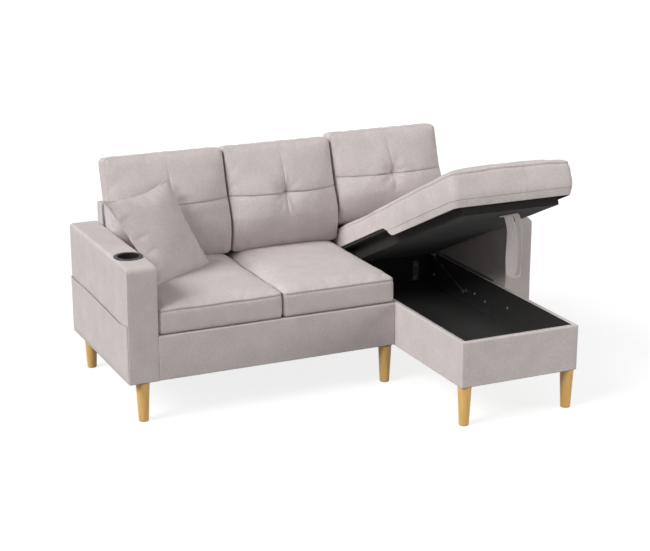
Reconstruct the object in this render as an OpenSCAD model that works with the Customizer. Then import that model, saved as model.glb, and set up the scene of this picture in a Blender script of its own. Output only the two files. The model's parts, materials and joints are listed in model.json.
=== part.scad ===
// Three-seat sofa with a chaise on its right. The chaise is a storage box under a padded lid,
// drawn open. Upholstered arms, timber frames, loose cushions and turned legs are separate pieces.

/* [Whole sofa] */
// Width over both arms
sofa_w = 1750; // [1650:10:1900]
// Depth from the front of the arms to the back
sofa_d = 730; // [700:5:800]
// How far the chaise stands out in front of the arms
chaise_out = 550; // [450:10:650]
// Width of the chaise
chaise_w = 510; // [470:5:580]
// Height of the seat rail and of the storage box
rail_h = 180; // [165:5:210]

/* [Legs] */
// Height of the underside of the body above the floor
leg_h = 160; // [100:5:220]
// Diameter of a leg at the top
leg_top_d = 54; // [48:1:60]
// Diameter of a leg at the floor
leg_foot_d = 39; // [30:1:46]
// Distance of a leg's centre from the edges of the body
leg_inset = 30; // [28:1:40]

/* [Arms] */
// Width of an arm
arm_w = 120; // [110:2:160]
// Height of an arm above the floor
arm_h = 620; // [580:5:680]
// Radius of the arm's long edges
arm_edge_r = 12; // [6:1:20]
// Radius of the arm's top front edge
arm_front_r = 26; // [14:1:40]
// Thickness of the arm's padded cover
arm_cover_t = 12; // [8:1:16]

/* [Cup holder] */
// Inside diameter of the cup holder
cup_d = 84; // [76:1:90]
// Inside depth of the cup holder
cup_depth = 75; // [50:1:100]
// Diameter of the cup holder's flange
cup_flange_d = 113; // [100:1:116]
// Distance of the cup holder's centre behind the arm's front
cup_back = 152; // [100:2:300]

/* [Side pocket] */
// Height of the pocket's mouth above the underside of the arm
pocket_h = 225; // [150:5:300]
// Room between the arm and the pocket's panel
pocket_room = 5.5; // [5:0.5:12]
// Thickness of the pocket's panel
pocket_t = 2.5; // [2:0.5:5]

/* [Cushions] */
// Height of the seat cushions' sewn border
seat_border = 97; // [80:1:120]
// Rise of the seat cushions' crown above the border
seat_crown = 24; // [10:1:35]
// Dark gap between the seat rail and the seat cushions
seat_gap = 6; // [4:1:10]
// Height of the back cushions
back_cushion_h = 432; // [400:2:480]
// How much lower the right back cushion is, squashed by the raised lid
back_squash = 32; // [0:1:40]
// Width of the back cushions' gusset at the bottom
back_gusset = 90; // [75:1:110]
// Forward rise of the back cushions' crown
back_crown = 35; // [15:1:45]
// Backward lean of the back cushions, as depth over height
back_lean = 0.27; // [0.2:0.01:0.3]
// Height of the tuft above the bottom of a back cushion, as a share of the cushion's height
tuft_share = 0.55; // [0.45:0.01:0.65]
// How far the gaps between the left and middle cushions stand to the right of the seat's middle
cushion_shift = 13; // [0:1:20]
// Thickness of the throw pillow at its middle
pillow_t = 120; // [80:5:140]

/* [Back frame] */
// Height of the top of the back frame above the floor
back_frame_h = 700; // [660:5:740]
// Thickness of the back frame at the seat
back_frame_t = 80; // [70:1:100]
// How much the back frame's front leans back at its top
back_frame_lean = 18; // [5:1:25]

/* [Chaise lid] */
// Opening angle of the lid
lid_open = 24.5; // [15:0.5:26]
// Height of the lid's padded border
lid_border = 67; // [55:1:85]
// Rise of the lid cushion's crown
lid_crown = 22; // [10:1:30]
// Further rise of its crown in the front half
lid_front_rise = 13; // [0:1:18]
// Height of the padded skirt below the lid's cushion
lid_skirt_h = 44; // [38:1:44]
// Thickness of the lid's board
lid_board_t = 12; // [9:1:15]
// Depth of the timber frame under the board
lid_frame_h = 58; // [40:1:60]
// Length of the pull strap's loop
strap_l = 258; // [180:2:280]

/* [Hidden] */
$fn = 64;

// Colours of the finishes
fabric_c = [0.74, 0.70, 0.68];
lining_c = [0.07, 0.07, 0.07];
timber_c = [0.80, 0.66, 0.46];
leg_c = [0.85, 0.66, 0.36];
plastic_c = [0.05, 0.05, 0.05];
steel_c = [0.45, 0.46, 0.48];

// Boards, fabric and small clearances
board_t = 16;
rail_t = 18;
cover_t = 3;
lining_t = 1.5;
rest_gap = 0.3;
side_gap = 1;
pin_gap = 0.08;
bolt_r = 3;
bolt_hole_r = 3.4;
bolt_head_r = 6.5;
bolt_head_h = 2.2;

// Floor plan: x runs from the left arm's outer face, y from the front of the arms, z from the floor
pocket_out = pocket_room + pocket_t;
base_d = sofa_d - back_frame_t;
rim_z = leg_h + rail_h;
box_x0 = sofa_w - arm_w - chaise_w;
box_x1 = sofa_w - arm_w;
chaise_cx = box_x0 + chaise_w / 2;
seat_w = box_x0 - arm_w;
box_d = base_d + chaise_out;
wall_t = cover_t + board_t + lining_t;
box_in_x0 = box_x0 + wall_t;
box_in_x1 = box_x1 - wall_t;
box_in_y0 = -chaise_out + wall_t;
box_in_y1 = base_d - wall_t;
block_h = 25;
block_w = 45;
rim_bar_y0 = 86;
rim_bar_rear = 145;
rim_bar_l = base_d - rim_bar_y0 - rim_bar_rear;
floor_t = 6;
floor_z = leg_h + block_h;
floor_top = floor_z + floor_t + lining_t;
batten_w = 18;
batten_h = 24;

// Seat
seat_bottom = rim_z + seat_gap;
seat_seam = seat_bottom + seat_border;
seat_back_y = base_d - 2;
cushion_x = [arm_w + side_gap, arm_w + seat_w / 2 + cushion_shift + side_gap / 2];
cushion_w = [cushion_x[1] - cushion_x[0] - side_gap, box_x0 - side_gap - cushion_x[1]];
beam_x = arm_w + seat_w / 2 - rail_t / 2;

// Back cushions: the front seam's foot and the rear seam's foot, seen from the side
back_rear_crown = 12;
back_frame_r = 12;
back_seam_lean = 0.30;
lean_z = back_frame_h - back_frame_r;
frame_top_y = base_d + back_frame_lean;
back_bottom = seat_seam + seat_crown * (1 - pow(0.5, 3)) + rest_gap;
// Where the rear seam's foot lies for a cushion with its bottom at z, leaning on the frame's top edge
function rear_foot_y(z) =
    frame_top_y + back_frame_r - (back_frame_r + rest_gap) / cos(atan(back_lean)) - back_rear_crown - back_lean * (lean_z - z);

// Lid: the hinge lies along X behind the lid, level with the underside of its cushion
hinge_y = base_d - 16;
hinge_z = rim_z + lid_skirt_h + 1;
lid_w = chaise_w - 2 * side_gap;
lid_x0 = box_x0 + side_gap;
lid_y0 = -chaise_out - 5;
lid_y1 = base_d - 60;
lid_corner_r = 24;
lid_crown_power = 8;
lid_rise_end = 0.35;
lid_plate_l = 134;
lid_plate_h = 38;
skirt_t = 5;
lid_frame_side = 46;
lid_frame_y0 = -chaise_out + 30;
lid_frame_y1 = base_d - 90;
lid_rail_t = 22;
lid_frame_top = hinge_z - lid_board_t;
lid_frame_bottom = lid_frame_top - lid_frame_h;

// Hinge hardware, as distances inwards from the storage box's inner face
plate_t = 2.5;
pin_r = 4;
lid_plate_in = 5.5;
stay_in = 10;
stay_t = 6;
stay_box_y = -351;
stay_box_z = -140;
stay_lid_y = -34.2;
stay_lid_z = -67.2;
stay_open_r = 6.5;
tube_r = 5;
rod_r = 2.6;
tube_l = 190;
tube_bore_start = 60;
function opened(y, z) = [y * cos(lid_open) + z * sin(lid_open), z * cos(lid_open) - y * sin(lid_open)];
stay_vec = opened(stay_lid_y, stay_lid_z) - [stay_box_y, stay_box_z];
stay_l = norm(stay_vec);
stay_angle = atan2(stay_vec[1], stay_vec[0]);

// Pull strap, hung from the lid's lining
strap_x = chaise_cx + 57;
strap_hinge_y = -chaise_out + 126;
strap_w = 75;
strap_t = 5;

// Places of the legs, in the order of the leg nodes
leg_r = leg_top_d / 2;
plate_leg_t = 2.5;
leg_bolt_r = 4;
leg_bolt_in_leg = 35;
leg_bolt_in_block = 18;
leg_places = [
    [arm_w / 2, leg_inset], [arm_w / 2, sofa_d - leg_inset - 5],
    [box_x0 - leg_inset, leg_inset], [box_x0 - leg_inset, base_d - leg_inset],
    [box_x0 + leg_inset - 2, -chaise_out + leg_inset - 2], [box_x1 - leg_inset + 2, -chaise_out + leg_inset - 2],
    [sofa_w - arm_w / 2, leg_inset], [sofa_w - arm_w / 2, sofa_d - leg_inset - 5]];

// Bolts that join the frames: head's seat, direction along X or Y, and length
hinge_bolt_y = -64;
hinge_bolts = [[hinge_bolt_y, -52], [hinge_bolt_y, -144]];
arm_joint_l = rail_t + arm_cover_t + board_t;
box_joint_l = lining_t + board_t + cover_t + arm_cover_t + board_t;
x_bolts = concat(
    [for (y = [140, base_d - 130]) [arm_w + rail_t, y, leg_h + 90, -1, arm_joint_l]],
    [for (y = [140, base_d - 130]) [box_x0 - rail_t, y, leg_h + 90, 1, rail_t + cover_t + board_t - 0.5]],
    [for (p = [[215, 92], [126, 82]]) [box_in_x1, p[0], leg_h + p[1], 1, box_joint_l]],
    [[box_in_x1, -56, leg_h + 106, 1, board_t]],
    [for (p = hinge_bolts) [box_in_x1 - plate_t, hinge_y + p[0], hinge_z + p[1], 1, box_joint_l + plate_t]],
    [for (p = hinge_bolts) [box_in_x0 + plate_t, hinge_y + p[0], hinge_z + p[1], -1, wall_t + plate_t + rail_t - 2]]);
bracket_x = box_x1 - 85;
bracket_z0 = leg_h + 47;
bracket_h = 90;
y_bolts = concat(
    [for (x = [arm_w + seat_w * 0.2, arm_w + seat_w * 0.8]) [x, base_d - rail_t, leg_h + 80, rail_t + 30]],
    [for (z = [bracket_z0 + 18, bracket_z0 + bracket_h - 18]) [bracket_x, box_in_y1 - cover_t, z, wall_t + 30]]);

// Puts the middle of the footprint at the origin
module floor_plan() {
    translate([-(sofa_w - pocket_out) / 2, -(sofa_d - chaise_out) / 2, 0]) children();
}

// Extrudes a (y, z) outline along X, or an (x, z) outline along Y
module along_x(x0, length) {
    translate([x0, 0, 0]) rotate([90, 0, 90]) linear_extrude(height = length) children();
}
module along_y(y0, length) {
    translate([0, y0 + length, 0]) rotate([90, 0, 0]) linear_extrude(height = length) children();
}

// A rod or disc along X
module x_rod(x0, x1, y, z, r) {
    translate([x0, y, z]) rotate([0, 90, 0]) cylinder(r = r, h = x1 - x0);
}

// Holes for the joint bolts and the legs' bolts, to be cut from what they pass through
module bolt_holes() {
    for (b = x_bolts)
        x_rod(b[3] > 0 ? b[0] - 0.1 : b[0] - b[4] - 0.5, b[3] > 0 ? b[0] + b[4] + 0.5 : b[0] + 0.1, b[1], b[2], bolt_hole_r);
    for (b = y_bolts)
        translate([b[0], b[1] - 0.1, b[2]]) rotate([-90, 0, 0]) cylinder(r = bolt_hole_r, h = b[3] + 0.6);
    for (p = leg_places)
        translate([p[0], p[1], leg_h - 1]) cylinder(r = leg_bolt_r + 0.4, h = leg_bolt_in_block + 3);
}

// Draws something at the left hinge, and again mirrored at the right
module both_hinges() {
    children();
    translate([2 * chaise_cx, 0, 0]) mirror([1, 0, 0]) children();
}

// Turns what is drawn with the lid closed into the open position
module lid_pose() {
    translate([0, hinge_y, hinge_z]) rotate([-lid_open, 0, 0]) translate([0, -hinge_y, -hinge_z]) children();
}

// Arms: a padded cover over timber posts and boards
module arm_outer() {
    intersection() {
        along_y(0, sofa_d) {
            translate([0, leg_h]) square([arm_w, arm_h - leg_h - arm_edge_r]);
            translate([arm_edge_r, leg_h]) square([arm_w - 2 * arm_edge_r, arm_h - leg_h]);
            for (x = [arm_edge_r, arm_w - arm_edge_r]) translate([x, arm_h - arm_edge_r]) circle(arm_edge_r);
        }
        along_x(-1, arm_w + 2) {
            translate([0, leg_h - 1]) square([sofa_d, arm_h - leg_h - arm_front_r + 1]);
            translate([arm_front_r, leg_h]) square([sofa_d - arm_front_r - arm_edge_r, arm_h - leg_h + 1]);
            translate([sofa_d / 2, leg_h]) square([sofa_d / 2, arm_h - leg_h - arm_edge_r]);
            translate([arm_front_r, arm_h - arm_front_r]) circle(arm_front_r);
            translate([sofa_d - arm_edge_r, arm_h - arm_edge_r]) circle(arm_edge_r);
        }
    }
}
module arm_cavity() {
    t = arm_cover_t;
    translate([t, t, leg_h + t]) cube([arm_w - 2 * t, sofa_d - 2 * t, arm_h - leg_h - 2 * t]);
}
module arm_timber_set(inner_x) {
    t = arm_cover_t;
    post_d = 45;
    for (y = [t, sofa_d - t - post_d]) translate([t, y, leg_h + t]) cube([arm_w - 2 * t, post_d, arm_h - leg_h - 2 * t]);
    run = sofa_d - 2 * t - 2 * post_d;
    translate([t, t + post_d, arm_h - t - rail_t]) cube([arm_w - 2 * t, run, rail_t]);
    translate([t, t + post_d, leg_h + t]) cube([arm_w - 2 * t, run, rail_t]);
    translate([inner_x, t + post_d, leg_h + t + rail_t]) cube([board_t, run, rail_h]);
}
module left_arm_cover() {
    floor_plan() color(fabric_c) difference() {
        arm_outer();
        arm_cavity();
        translate([arm_w / 2, cup_back, arm_h - 2 * arm_cover_t]) cylinder(r = cup_r_out + 0.5, h = 3 * arm_cover_t);
        bolt_holes();
    }
}
module right_arm_cover() {
    floor_plan() color(fabric_c) difference() {
        translate([sofa_w, 0, 0]) mirror([1, 0, 0]) arm_outer();
        translate([box_x1, 0, 0]) arm_cavity();
        bolt_holes();
    }
}
module left_arm_timbers() {
    floor_plan() color(timber_c) difference() {
        arm_timber_set(arm_w - arm_cover_t - board_t);
        translate([arm_w / 2, cup_back, arm_h - 60]) cylinder(r = cup_r_out + 2, h = 60);
        bolt_holes();
    }
}
module right_arm_timbers() {
    floor_plan() color(timber_c) difference() {
        translate([box_x1, 0, 0]) arm_timber_set(arm_cover_t);
        bolt_holes();
    }
}

// Cup holder: a flanged plastic liner that drops into the left arm
cup_wall = 3;
cup_flange_t = 3;
cup_r_out = cup_d / 2 + cup_wall;
cup_bottom = arm_h + cup_flange_t - cup_depth - cup_wall;
module cup_holder() {
    r = cup_d / 2;
    top = cup_depth + cup_wall;
    edge = 1.4;
    floor_plan() color(plastic_c) translate([arm_w / 2, cup_back, cup_bottom]) rotate_extrude()
        polygon([[0, 0], [cup_r_out, 0], [cup_r_out, top - cup_flange_t], [cup_flange_d / 2, top - cup_flange_t],
                 [cup_flange_d / 2, top - edge], [cup_flange_d / 2 - edge, top], [r, top], [r, cup_wall], [0, cup_wall]]);
}

// Side pocket: a flat panel on the left arm's outer face, closed by gussets at the ends and the bottom
module side_pocket() {
    z0 = leg_h + 1;
    mouth = leg_h + pocket_h;
    gusset_w = 10;
    y0 = 6;
    y1 = sofa_d - 6;
    floor_plan() color(fabric_c) {
        along_x(-pocket_out, pocket_t) polygon(concat(
            [[y1, z0], [y1, mouth]],
            [for (i = [0:6]) [90 - 14 * i, mouth + 12 * (1 - cos(30 * i)) / 2]],
            [[y0, mouth + 12], [y0, z0]]));
        translate([-pocket_room, y0, z0]) cube([pocket_room, y1 - y0, 3]);
        for (y = [y0, y1 - gusset_w]) translate([-pocket_room, y, z0 + 3]) cube([pocket_room, gusset_w, pocket_h - 4]);
    }
}

// Seat base: boards and rails between the left arm and the storage box
module seat_front_board() {
    floor_plan() color(timber_c) difference() {
        translate([arm_w, cover_t, leg_h + cover_t]) cube([seat_w, rail_t, rail_h - 2 * cover_t]);
        bolt_holes();
    }
}
module seat_front_cover() {
    floor_plan() color(fabric_c) along_x(arm_w, seat_w) difference() {
        translate([cover_t, leg_h]) union() {
            square([rail_t, rail_h]);
            translate([-cover_t, cover_t]) square([2 * cover_t, rail_h - 2 * cover_t]);
            for (z = [cover_t, rail_h - cover_t]) translate([0, z]) circle(cover_t);
        }
        translate([cover_t, leg_h + cover_t]) square([rail_t + 1, rail_h - 2 * cover_t]);
    }
}
rail_top = rim_z - cover_t;
rail_y0 = cover_t + rail_t;
rail_y1 = base_d - rail_t;
module seat_rear_rail() {
    floor_plan() color(timber_c) difference() {
        translate([arm_w, rail_y1, leg_h + 2]) cube([seat_w, rail_t, rail_top - leg_h - 2]);
        bolt_holes();
    }
}
// Two end rails, and a shallower beam between them under the springs
module seat_cross_rails() {
    floor_plan() color(timber_c) difference() {
        union() {
            for (x = [arm_w, box_x0 - rail_t])
                translate([x, rail_y0, leg_h + 2]) cube([rail_t, rail_y1 - rail_y0, rail_top - leg_h - 2]);
            translate([beam_x, rail_y0, leg_h + 30]) cube([rail_t, rail_y1 - rail_y0, rail_h - 80]);
        }
        bolt_holes();
    }
}
clip_d = 9;
clip_w = 56;
clip_h = 14;
spring_z = rim_z - 16;
springs_per_bay = 3;
spring_t = 3.5;
bay_w = beam_x - arm_w - rail_t;
spring_xs = [for (bay = [arm_w + rail_t, beam_x + rail_t], i = [0:springs_per_bay - 1])
    bay + bay_w * (i + 0.5) / springs_per_bay];
// A flat zigzag spring: cross bars joined by half-round bends at alternate ends
module sinuous_spring(length) {
    bars = 15;
    half_w = 17;
    pitch = (length - spring_t) / (bars - 1);
    function bends(side) = [for (i = [0:bars - 2], a = [0:36:180])
        let (s = i % 2 == 0 ? 1 : -1, r = pitch / 2 + s * side) [s * (half_w + r * sin(a)), (i + 0.5) * pitch - r * cos(a)]];
    function reversed(list) = [for (i = [len(list) - 1:-1:0]) list[i]];
    h = spring_t / 2;
    last_y = (bars - 1) * pitch;
    translate([0, h, 0]) linear_extrude(height = spring_t) polygon(concat(
        [[-half_w, -h]], bends(h), [[half_w, last_y - h], [half_w, last_y + h]], reversed(bends(-h)), [[-half_w, h]]));
}
module seat_springs() {
    run = rail_y1 - rail_y0 - 2 * clip_d;
    floor_plan() color(steel_c) for (x = spring_xs)
        translate([x, rail_y0 + clip_d, spring_z]) sinuous_spring(run);
}
module spring_clips() {
    floor_plan() color(plastic_c) for (x = spring_xs, y = [rail_y0, rail_y1 - clip_d])
        translate([x - clip_w / 2, y, spring_z - 8]) cube([clip_w, clip_d, clip_h]);
}
module seat_deck_pad() {
    z = spring_z + spring_t + rest_gap;
    floor_plan() color(lining_c) for (x = [arm_w + rail_t + 1, beam_x + rail_t / 2])
        translate([x, rail_y0 + clip_d, z + 3]) cube([bay_w + rail_t / 2 - 1, rail_y1 - rail_y0 - 2 * clip_d, seat_bottom - rest_gap - z - 3]);
}
module seat_dust_cover() {
    floor_plan() color(lining_c) difference() {
        translate([arm_w + rail_t, rail_y0, leg_h + 0.5]) cube([seat_w - 2 * rail_t, rail_y1 - rail_y0, lining_t]);
        translate([box_x0 - rail_t - block_w, 0, leg_h - 1]) cube([block_w + 1, rail_y0 + block_w, 5]);
        translate([box_x0 - rail_t - block_w, rail_y1 - block_w, leg_h - 1]) cube([block_w + 1, block_w + 1, 5]);
    }
}
// Corner blocks: what the legs of the seat base and of the storage box screw into
module corner_blocks() {
    box_y0 = -chaise_out + cover_t + board_t;
    box_y1 = base_d - cover_t - board_t - block_w;
    floor_plan() color(timber_c) difference() {
        union() {
            for (y = [rail_y0, rail_y1 - block_w])
                translate([box_x0 - rail_t - block_w, y, leg_h]) cube([block_w, block_w, block_h]);
            for (x = [box_x0 + cover_t + board_t, box_x1 - cover_t - board_t - block_w], y = [box_y0, box_y1])
                translate([x, y, leg_h]) cube([block_w, block_w, block_h]);
        }
        bolt_holes();
    }
}

// Back frames: padded covers over timber, one behind the seats and one behind the chaise
module back_outline(t) {
    r = back_frame_r - t;
    knee = seat_seam + 20;
    top = back_frame_h - t;
    front = base_d + t;
    rear = sofa_d - t;
    union() {
        polygon([[front, leg_h + t], [rear, leg_h + t], [rear, top - r], [front + back_frame_lean, top - r], [front, knee]]);
        translate([front + back_frame_lean + r, top - r - 1]) square([rear - front - back_frame_lean - 2 * r, r + 1]);
        for (y = [front + back_frame_lean + r, rear - r]) translate([y, top - r]) circle(r);
    }
}
module back_cover(x0, w) {
    t = 8;
    floor_plan() color(fabric_c) difference() {
        along_x(x0, w) back_outline(0);
        along_x(x0 + t, w - 2 * t) back_outline(t);
        bolt_holes();
    }
}
module left_back_cover() {
    back_cover(arm_w, seat_w);
}
module right_back_cover() {
    back_cover(box_x0, chaise_w);
}
module back_timbers() {
    t = 8;
    y0 = base_d + back_frame_lean + t;
    d = back_frame_t - back_frame_lean - 2 * t;
    z0 = leg_h + t;
    h = back_frame_h - 2 * t - back_frame_r - leg_h;
    floor_plan() color(timber_c) difference() {
        for (b = [[arm_w + t, seat_w - 2 * t], [box_x0 + t, chaise_w - 2 * t]]) {
            for (x = [b[0], b[0] + b[1] - 40]) translate([x, y0, z0]) cube([40, d, h]);
            for (z = [z0, z0 + h - 45]) translate([b[0] + 40, y0, z]) cube([b[1] - 80, d, 45]);
            translate([b[0] + 40, base_d + t, leg_h + 60]) cube([b[1] - 80, rail_t, 100]);
        }
        bolt_holes();
    }
}

// Storage box: boards, floor, black lining and the fabric skin with its rim
module storage_front_panel() {
    floor_plan() color(timber_c) difference() {
        translate([box_x0 + cover_t, -chaise_out + cover_t, leg_h + 2]) cube([chaise_w - 2 * cover_t, board_t, rail_top - leg_h - 2]);
        bolt_holes();
    }
}
module storage_side_panels() {
    y0 = -chaise_out + cover_t + board_t;
    y1 = base_d - cover_t - board_t;
    floor_plan() color(timber_c) difference() {
        for (x = [box_x0 + cover_t, box_x1 - cover_t - board_t])
            translate([x, y0, leg_h + 2]) cube([board_t, y1 - y0, rail_top - leg_h - 2]);
        bolt_holes();
    }
}
module storage_rear_panel() {
    floor_plan() color(timber_c) difference() {
        translate([box_x0 + cover_t, base_d - cover_t - board_t, leg_h + 2])
            cube([chaise_w - 2 * cover_t, board_t, rail_top - leg_h - 2]);
        bolt_holes();
    }
}
module storage_floor() {
    t = cover_t + board_t;
    floor_plan() color(timber_c) translate([box_x0 + t, -chaise_out + t, floor_z]) cube([chaise_w - 2 * t, box_d - 2 * t, floor_t]);
}
module storage_cover() {
    t = cover_t + board_t;
    floor_plan() color(fabric_c) difference() {
        translate([box_x0, -chaise_out, leg_h]) linear_extrude(height = rail_h) {
            translate([0, cover_t]) square([chaise_w, box_d - cover_t]);
            translate([cover_t, 0]) square([chaise_w - 2 * cover_t, box_d]);
            for (x = [cover_t, chaise_w - cover_t]) translate([x, cover_t]) circle(cover_t);
        }
        translate([box_x0 + cover_t, -chaise_out + cover_t, leg_h - 1])
            cube([chaise_w - 2 * cover_t, box_d - 2 * cover_t, rail_h - cover_t + 1]);
        translate([box_x0 + t, -chaise_out + t, leg_h - 1]) cube([chaise_w - 2 * t, box_d - 2 * t, rail_h + 2]);
        bolt_holes();
    }
}
module storage_lining() {
    z0 = floor_z + floor_t;
    h = rim_z - 1 - z0;
    floor_plan() color(lining_c) difference() {
        union() {
            translate([box_in_x0 - lining_t, box_in_y0 - lining_t, z0])
                cube([chaise_w - 2 * wall_t + 2 * lining_t, box_d - 2 * wall_t + 2 * lining_t, lining_t]);
            for (y = [box_in_y0 - lining_t, box_in_y1])
                translate([box_in_x0 - lining_t, y, z0 + lining_t]) cube([chaise_w - 2 * wall_t + 2 * lining_t, lining_t, h - lining_t]);
            for (x = [box_in_x0 - lining_t, box_in_x1])
                translate([x, box_in_y0, z0 + lining_t]) cube([lining_t, box_d - 2 * wall_t, h - lining_t]);
        }
        bolt_holes();
    }
}
module storage_battens() {
    floor_plan() color(lining_c) for (x = [box_in_x0, box_in_x1 - batten_w])
        translate([x, box_in_y0, floor_top]) cube([batten_w, box_d - 2 * wall_t, batten_h]);
}
module rim_bar() {
    floor_plan() color(steel_c) translate([box_x1 - 14, rim_bar_y0, rim_z]) cube([13, rim_bar_l, 5]);
}
module back_bracket() {
    floor_plan() color(steel_c) difference() {
        translate([bracket_x - 15, box_in_y1 - cover_t, bracket_z0]) cube([30, cover_t, bracket_h]);
        bolt_holes();
    }
}
// A bolt along +Z with its head below the origin
module bolt(length) {
    cylinder(r = bolt_r, h = length);
    translate([0, 0, -bolt_head_h]) cylinder(r1 = bolt_head_r - 1.2, r2 = bolt_head_r, h = bolt_head_h);
}
module frame_bolts() {
    floor_plan() color(steel_c) {
        for (b = x_bolts) translate([b[0], b[1], b[2]]) rotate([0, 90 * b[3], 0]) bolt(b[4]);
        for (b = y_bolts) translate([b[0], b[1], b[2]]) rotate([-90, 0, 0]) bolt(b[3]);
    }
}

// Legs: turned tapered cones with a bolt in the top, on threaded plates
module leg(i) {
    wood_h = leg_h - plate_leg_t;
    foot_r = leg_foot_d / 2;
    round_r = 2;
    floor_plan() color(leg_c) translate([leg_places[i][0], leg_places[i][1], 0]) difference() {
        rotate_extrude() polygon(concat(
            [[0, 0]],
            [for (a = [0:22.5:90]) [foot_r - round_r + round_r * sin(a), round_r - round_r * cos(a)]],
            [[leg_r, wood_h], [0, wood_h]]));
        translate([0, 0, wood_h - leg_bolt_in_leg - 1]) cylinder(r = leg_bolt_r + 0.15, h = leg_bolt_in_leg + 2);
    }
}
module leg_plates() {
    side = 36;
    floor_plan() color(steel_c) for (p = leg_places) translate([p[0], p[1], leg_h - plate_leg_t]) difference() {
        translate([-side / 2, -side / 2, 0]) cube([side, side, plate_leg_t]);
        translate([0, 0, -1]) cylinder(r = leg_bolt_r + 0.15, h = plate_leg_t + 2);
    }
}
module leg_bolts() {
    floor_plan() color(steel_c) for (p = leg_places)
        translate([p[0], p[1], leg_h - plate_leg_t - leg_bolt_in_leg])
            cylinder(r = leg_bolt_r, h = leg_bolt_in_leg + plate_leg_t + leg_bolt_in_block);
}

// Lid hinges: a plate bolted inside the box, a plate under the lid, and a shouldered pin through both
module hinge_box_plates() {
    front = hinge_bolt_y - 17;
    rear = hinge_bolt_y + 18;
    foot = hinge_bolts[1][1] - 16;
    floor_plan() color(steel_c) both_hinges() difference() {
        along_x(box_in_x0, plate_t) translate([hinge_y, hinge_z]) {
            polygon([[front, foot], [rear, foot], [rear, hinge_bolts[0][1] - 10], [-12, -40],
                     [14, 0], [0, 14], [-14, 4], [-40, -30], [front, hinge_bolts[0][1] + 7]]);
            circle(14);
        }
        x_rod(box_in_x0 - 1, box_in_x0 + plate_t + 1, hinge_y, hinge_z, pin_r + pin_gap);
        for (p = hinge_bolts) x_rod(box_in_x0 - 1, box_in_x0 + plate_t + 1, hinge_y + p[0], hinge_z + p[1], bolt_hole_r);
    }
}
module hinge_pins() {
    x = box_in_x0;
    end = x + lid_plate_in + plate_t + 0.2;
    floor_plan() color(steel_c) both_hinges() {
        x_rod(x - 2, x, hinge_y, hinge_z, 7);
        x_rod(x, end, hinge_y, hinge_z, pin_r);
        x_rod(x + plate_t, x + lid_plate_in - 0.1, hinge_y, hinge_z, 8);
        x_rod(end, end + 1.8, hinge_y, hinge_z, 7);
    }
}
module hinge_lid_plates() {
    x = box_in_x0 + lid_plate_in;
    top = -lid_board_t;
    floor_plan() color(steel_c) lid_pose() both_hinges() {
        difference() {
            along_x(x, plate_t) translate([hinge_y, hinge_z]) {
                polygon([[-lid_plate_l, top], [-lid_plate_l, -lid_plate_h], [stay_lid_y - 30, -lid_plate_h], [stay_lid_y - 10, stay_lid_z],
                         [stay_lid_y + 10, stay_lid_z], [14, 0], [0, 14], [-14, 5], [-43, top]]);
                circle(14);
                translate([stay_lid_y, stay_lid_z]) circle(10);
            }
            x_rod(x - 1, x + plate_t + 1, hinge_y, hinge_z, pin_r + pin_gap);
            x_rod(x - 1, x + plate_t + 1, hinge_y + stay_lid_y, hinge_z + stay_lid_z, pin_r + pin_gap);
        }
        translate([x + plate_t, hinge_y - lid_plate_l, hinge_z + top - plate_t])
            cube([lid_frame_side + box_x0 - x - plate_t - 0.2, 88, plate_t]);
    }
}
module stay_box_studs() {
    x = box_in_x0;
    y = hinge_y + stay_box_y;
    z = hinge_z + stay_box_z;
    floor_plan() color(steel_c) both_hinges() {
        x_rod(x, x + stay_in - 0.1, y, z, 9);
        x_rod(x + stay_in - 0.1, x + stay_in + stay_t + 0.2, y, z, pin_r);
        x_rod(x + stay_in + stay_t + 0.2, x + stay_in + stay_t + 2.2, y, z, 7);
    }
}
module stay_lid_studs() {
    x = box_in_x0 + lid_plate_in;
    y = hinge_y + stay_lid_y;
    z = hinge_z + stay_lid_z;
    cap_x = box_in_x0 + stay_in + stay_t + 0.4;
    floor_plan() color(steel_c) lid_pose() both_hinges() {
        x_rod(x - 0.8, x, y, z, 6);
        x_rod(x, cap_x, y, z, pin_r);
        x_rod(cap_x, cap_x + 2, y, z, 8.5);
    }
}

// Stays: a tube that turns on the box's stud, and a rod that slides in it and hooks the lid's stud
module stay_place() {
    translate([box_in_x0 + stay_in + stay_t / 2, hinge_y + stay_box_y, hinge_z + stay_box_z])
        rotate([stay_angle, 0, 0]) children();
}
module stay_tube() {
    stay_place() difference() {
        union() {
            x_rod(-stay_t / 2, stay_t / 2, 0, 0, 9);
            translate([0, 6, 0]) rotate([-90, 0, 0]) cylinder(r = tube_r, h = tube_l - 6);
        }
        x_rod(-tube_r - 1, tube_r + 1, 0, 0, pin_r + pin_gap);
        translate([0, tube_bore_start, 0]) rotate([-90, 0, 0]) cylinder(r = rod_r + pin_gap, h = tube_l);
        for (s = [-1, 1]) translate([s * (stay_t / 2 + 5), 0, 0]) cube([10, 24, 24], center = true);
    }
}
module stay_rod() {
    start = tube_bore_start + 4;
    stay_place() difference() {
        union() {
            x_rod(-stay_t / 2, stay_t / 2, stay_l, 0, 10.5);
            translate([0, start, 0]) rotate([-90, 0, 0]) cylinder(r = rod_r, h = stay_l - start - 8);
        }
        x_rod(-stay_t, stay_t, stay_l, 0, stay_open_r);
    }
}
module other_hinge() {
    translate([2 * chaise_cx, 0, 0]) mirror([1, 0, 0]) children();
}
module stay_tube_left() {
    floor_plan() color(steel_c) stay_tube();
}
module stay_tube_right() {
    floor_plan() color(steel_c) other_hinge() stay_tube();
}
module stay_rod_left() {
    floor_plan() color(steel_c) stay_rod();
}
module stay_rod_right() {
    floor_plan() color(steel_c) other_hinge() stay_rod();
}

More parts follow.
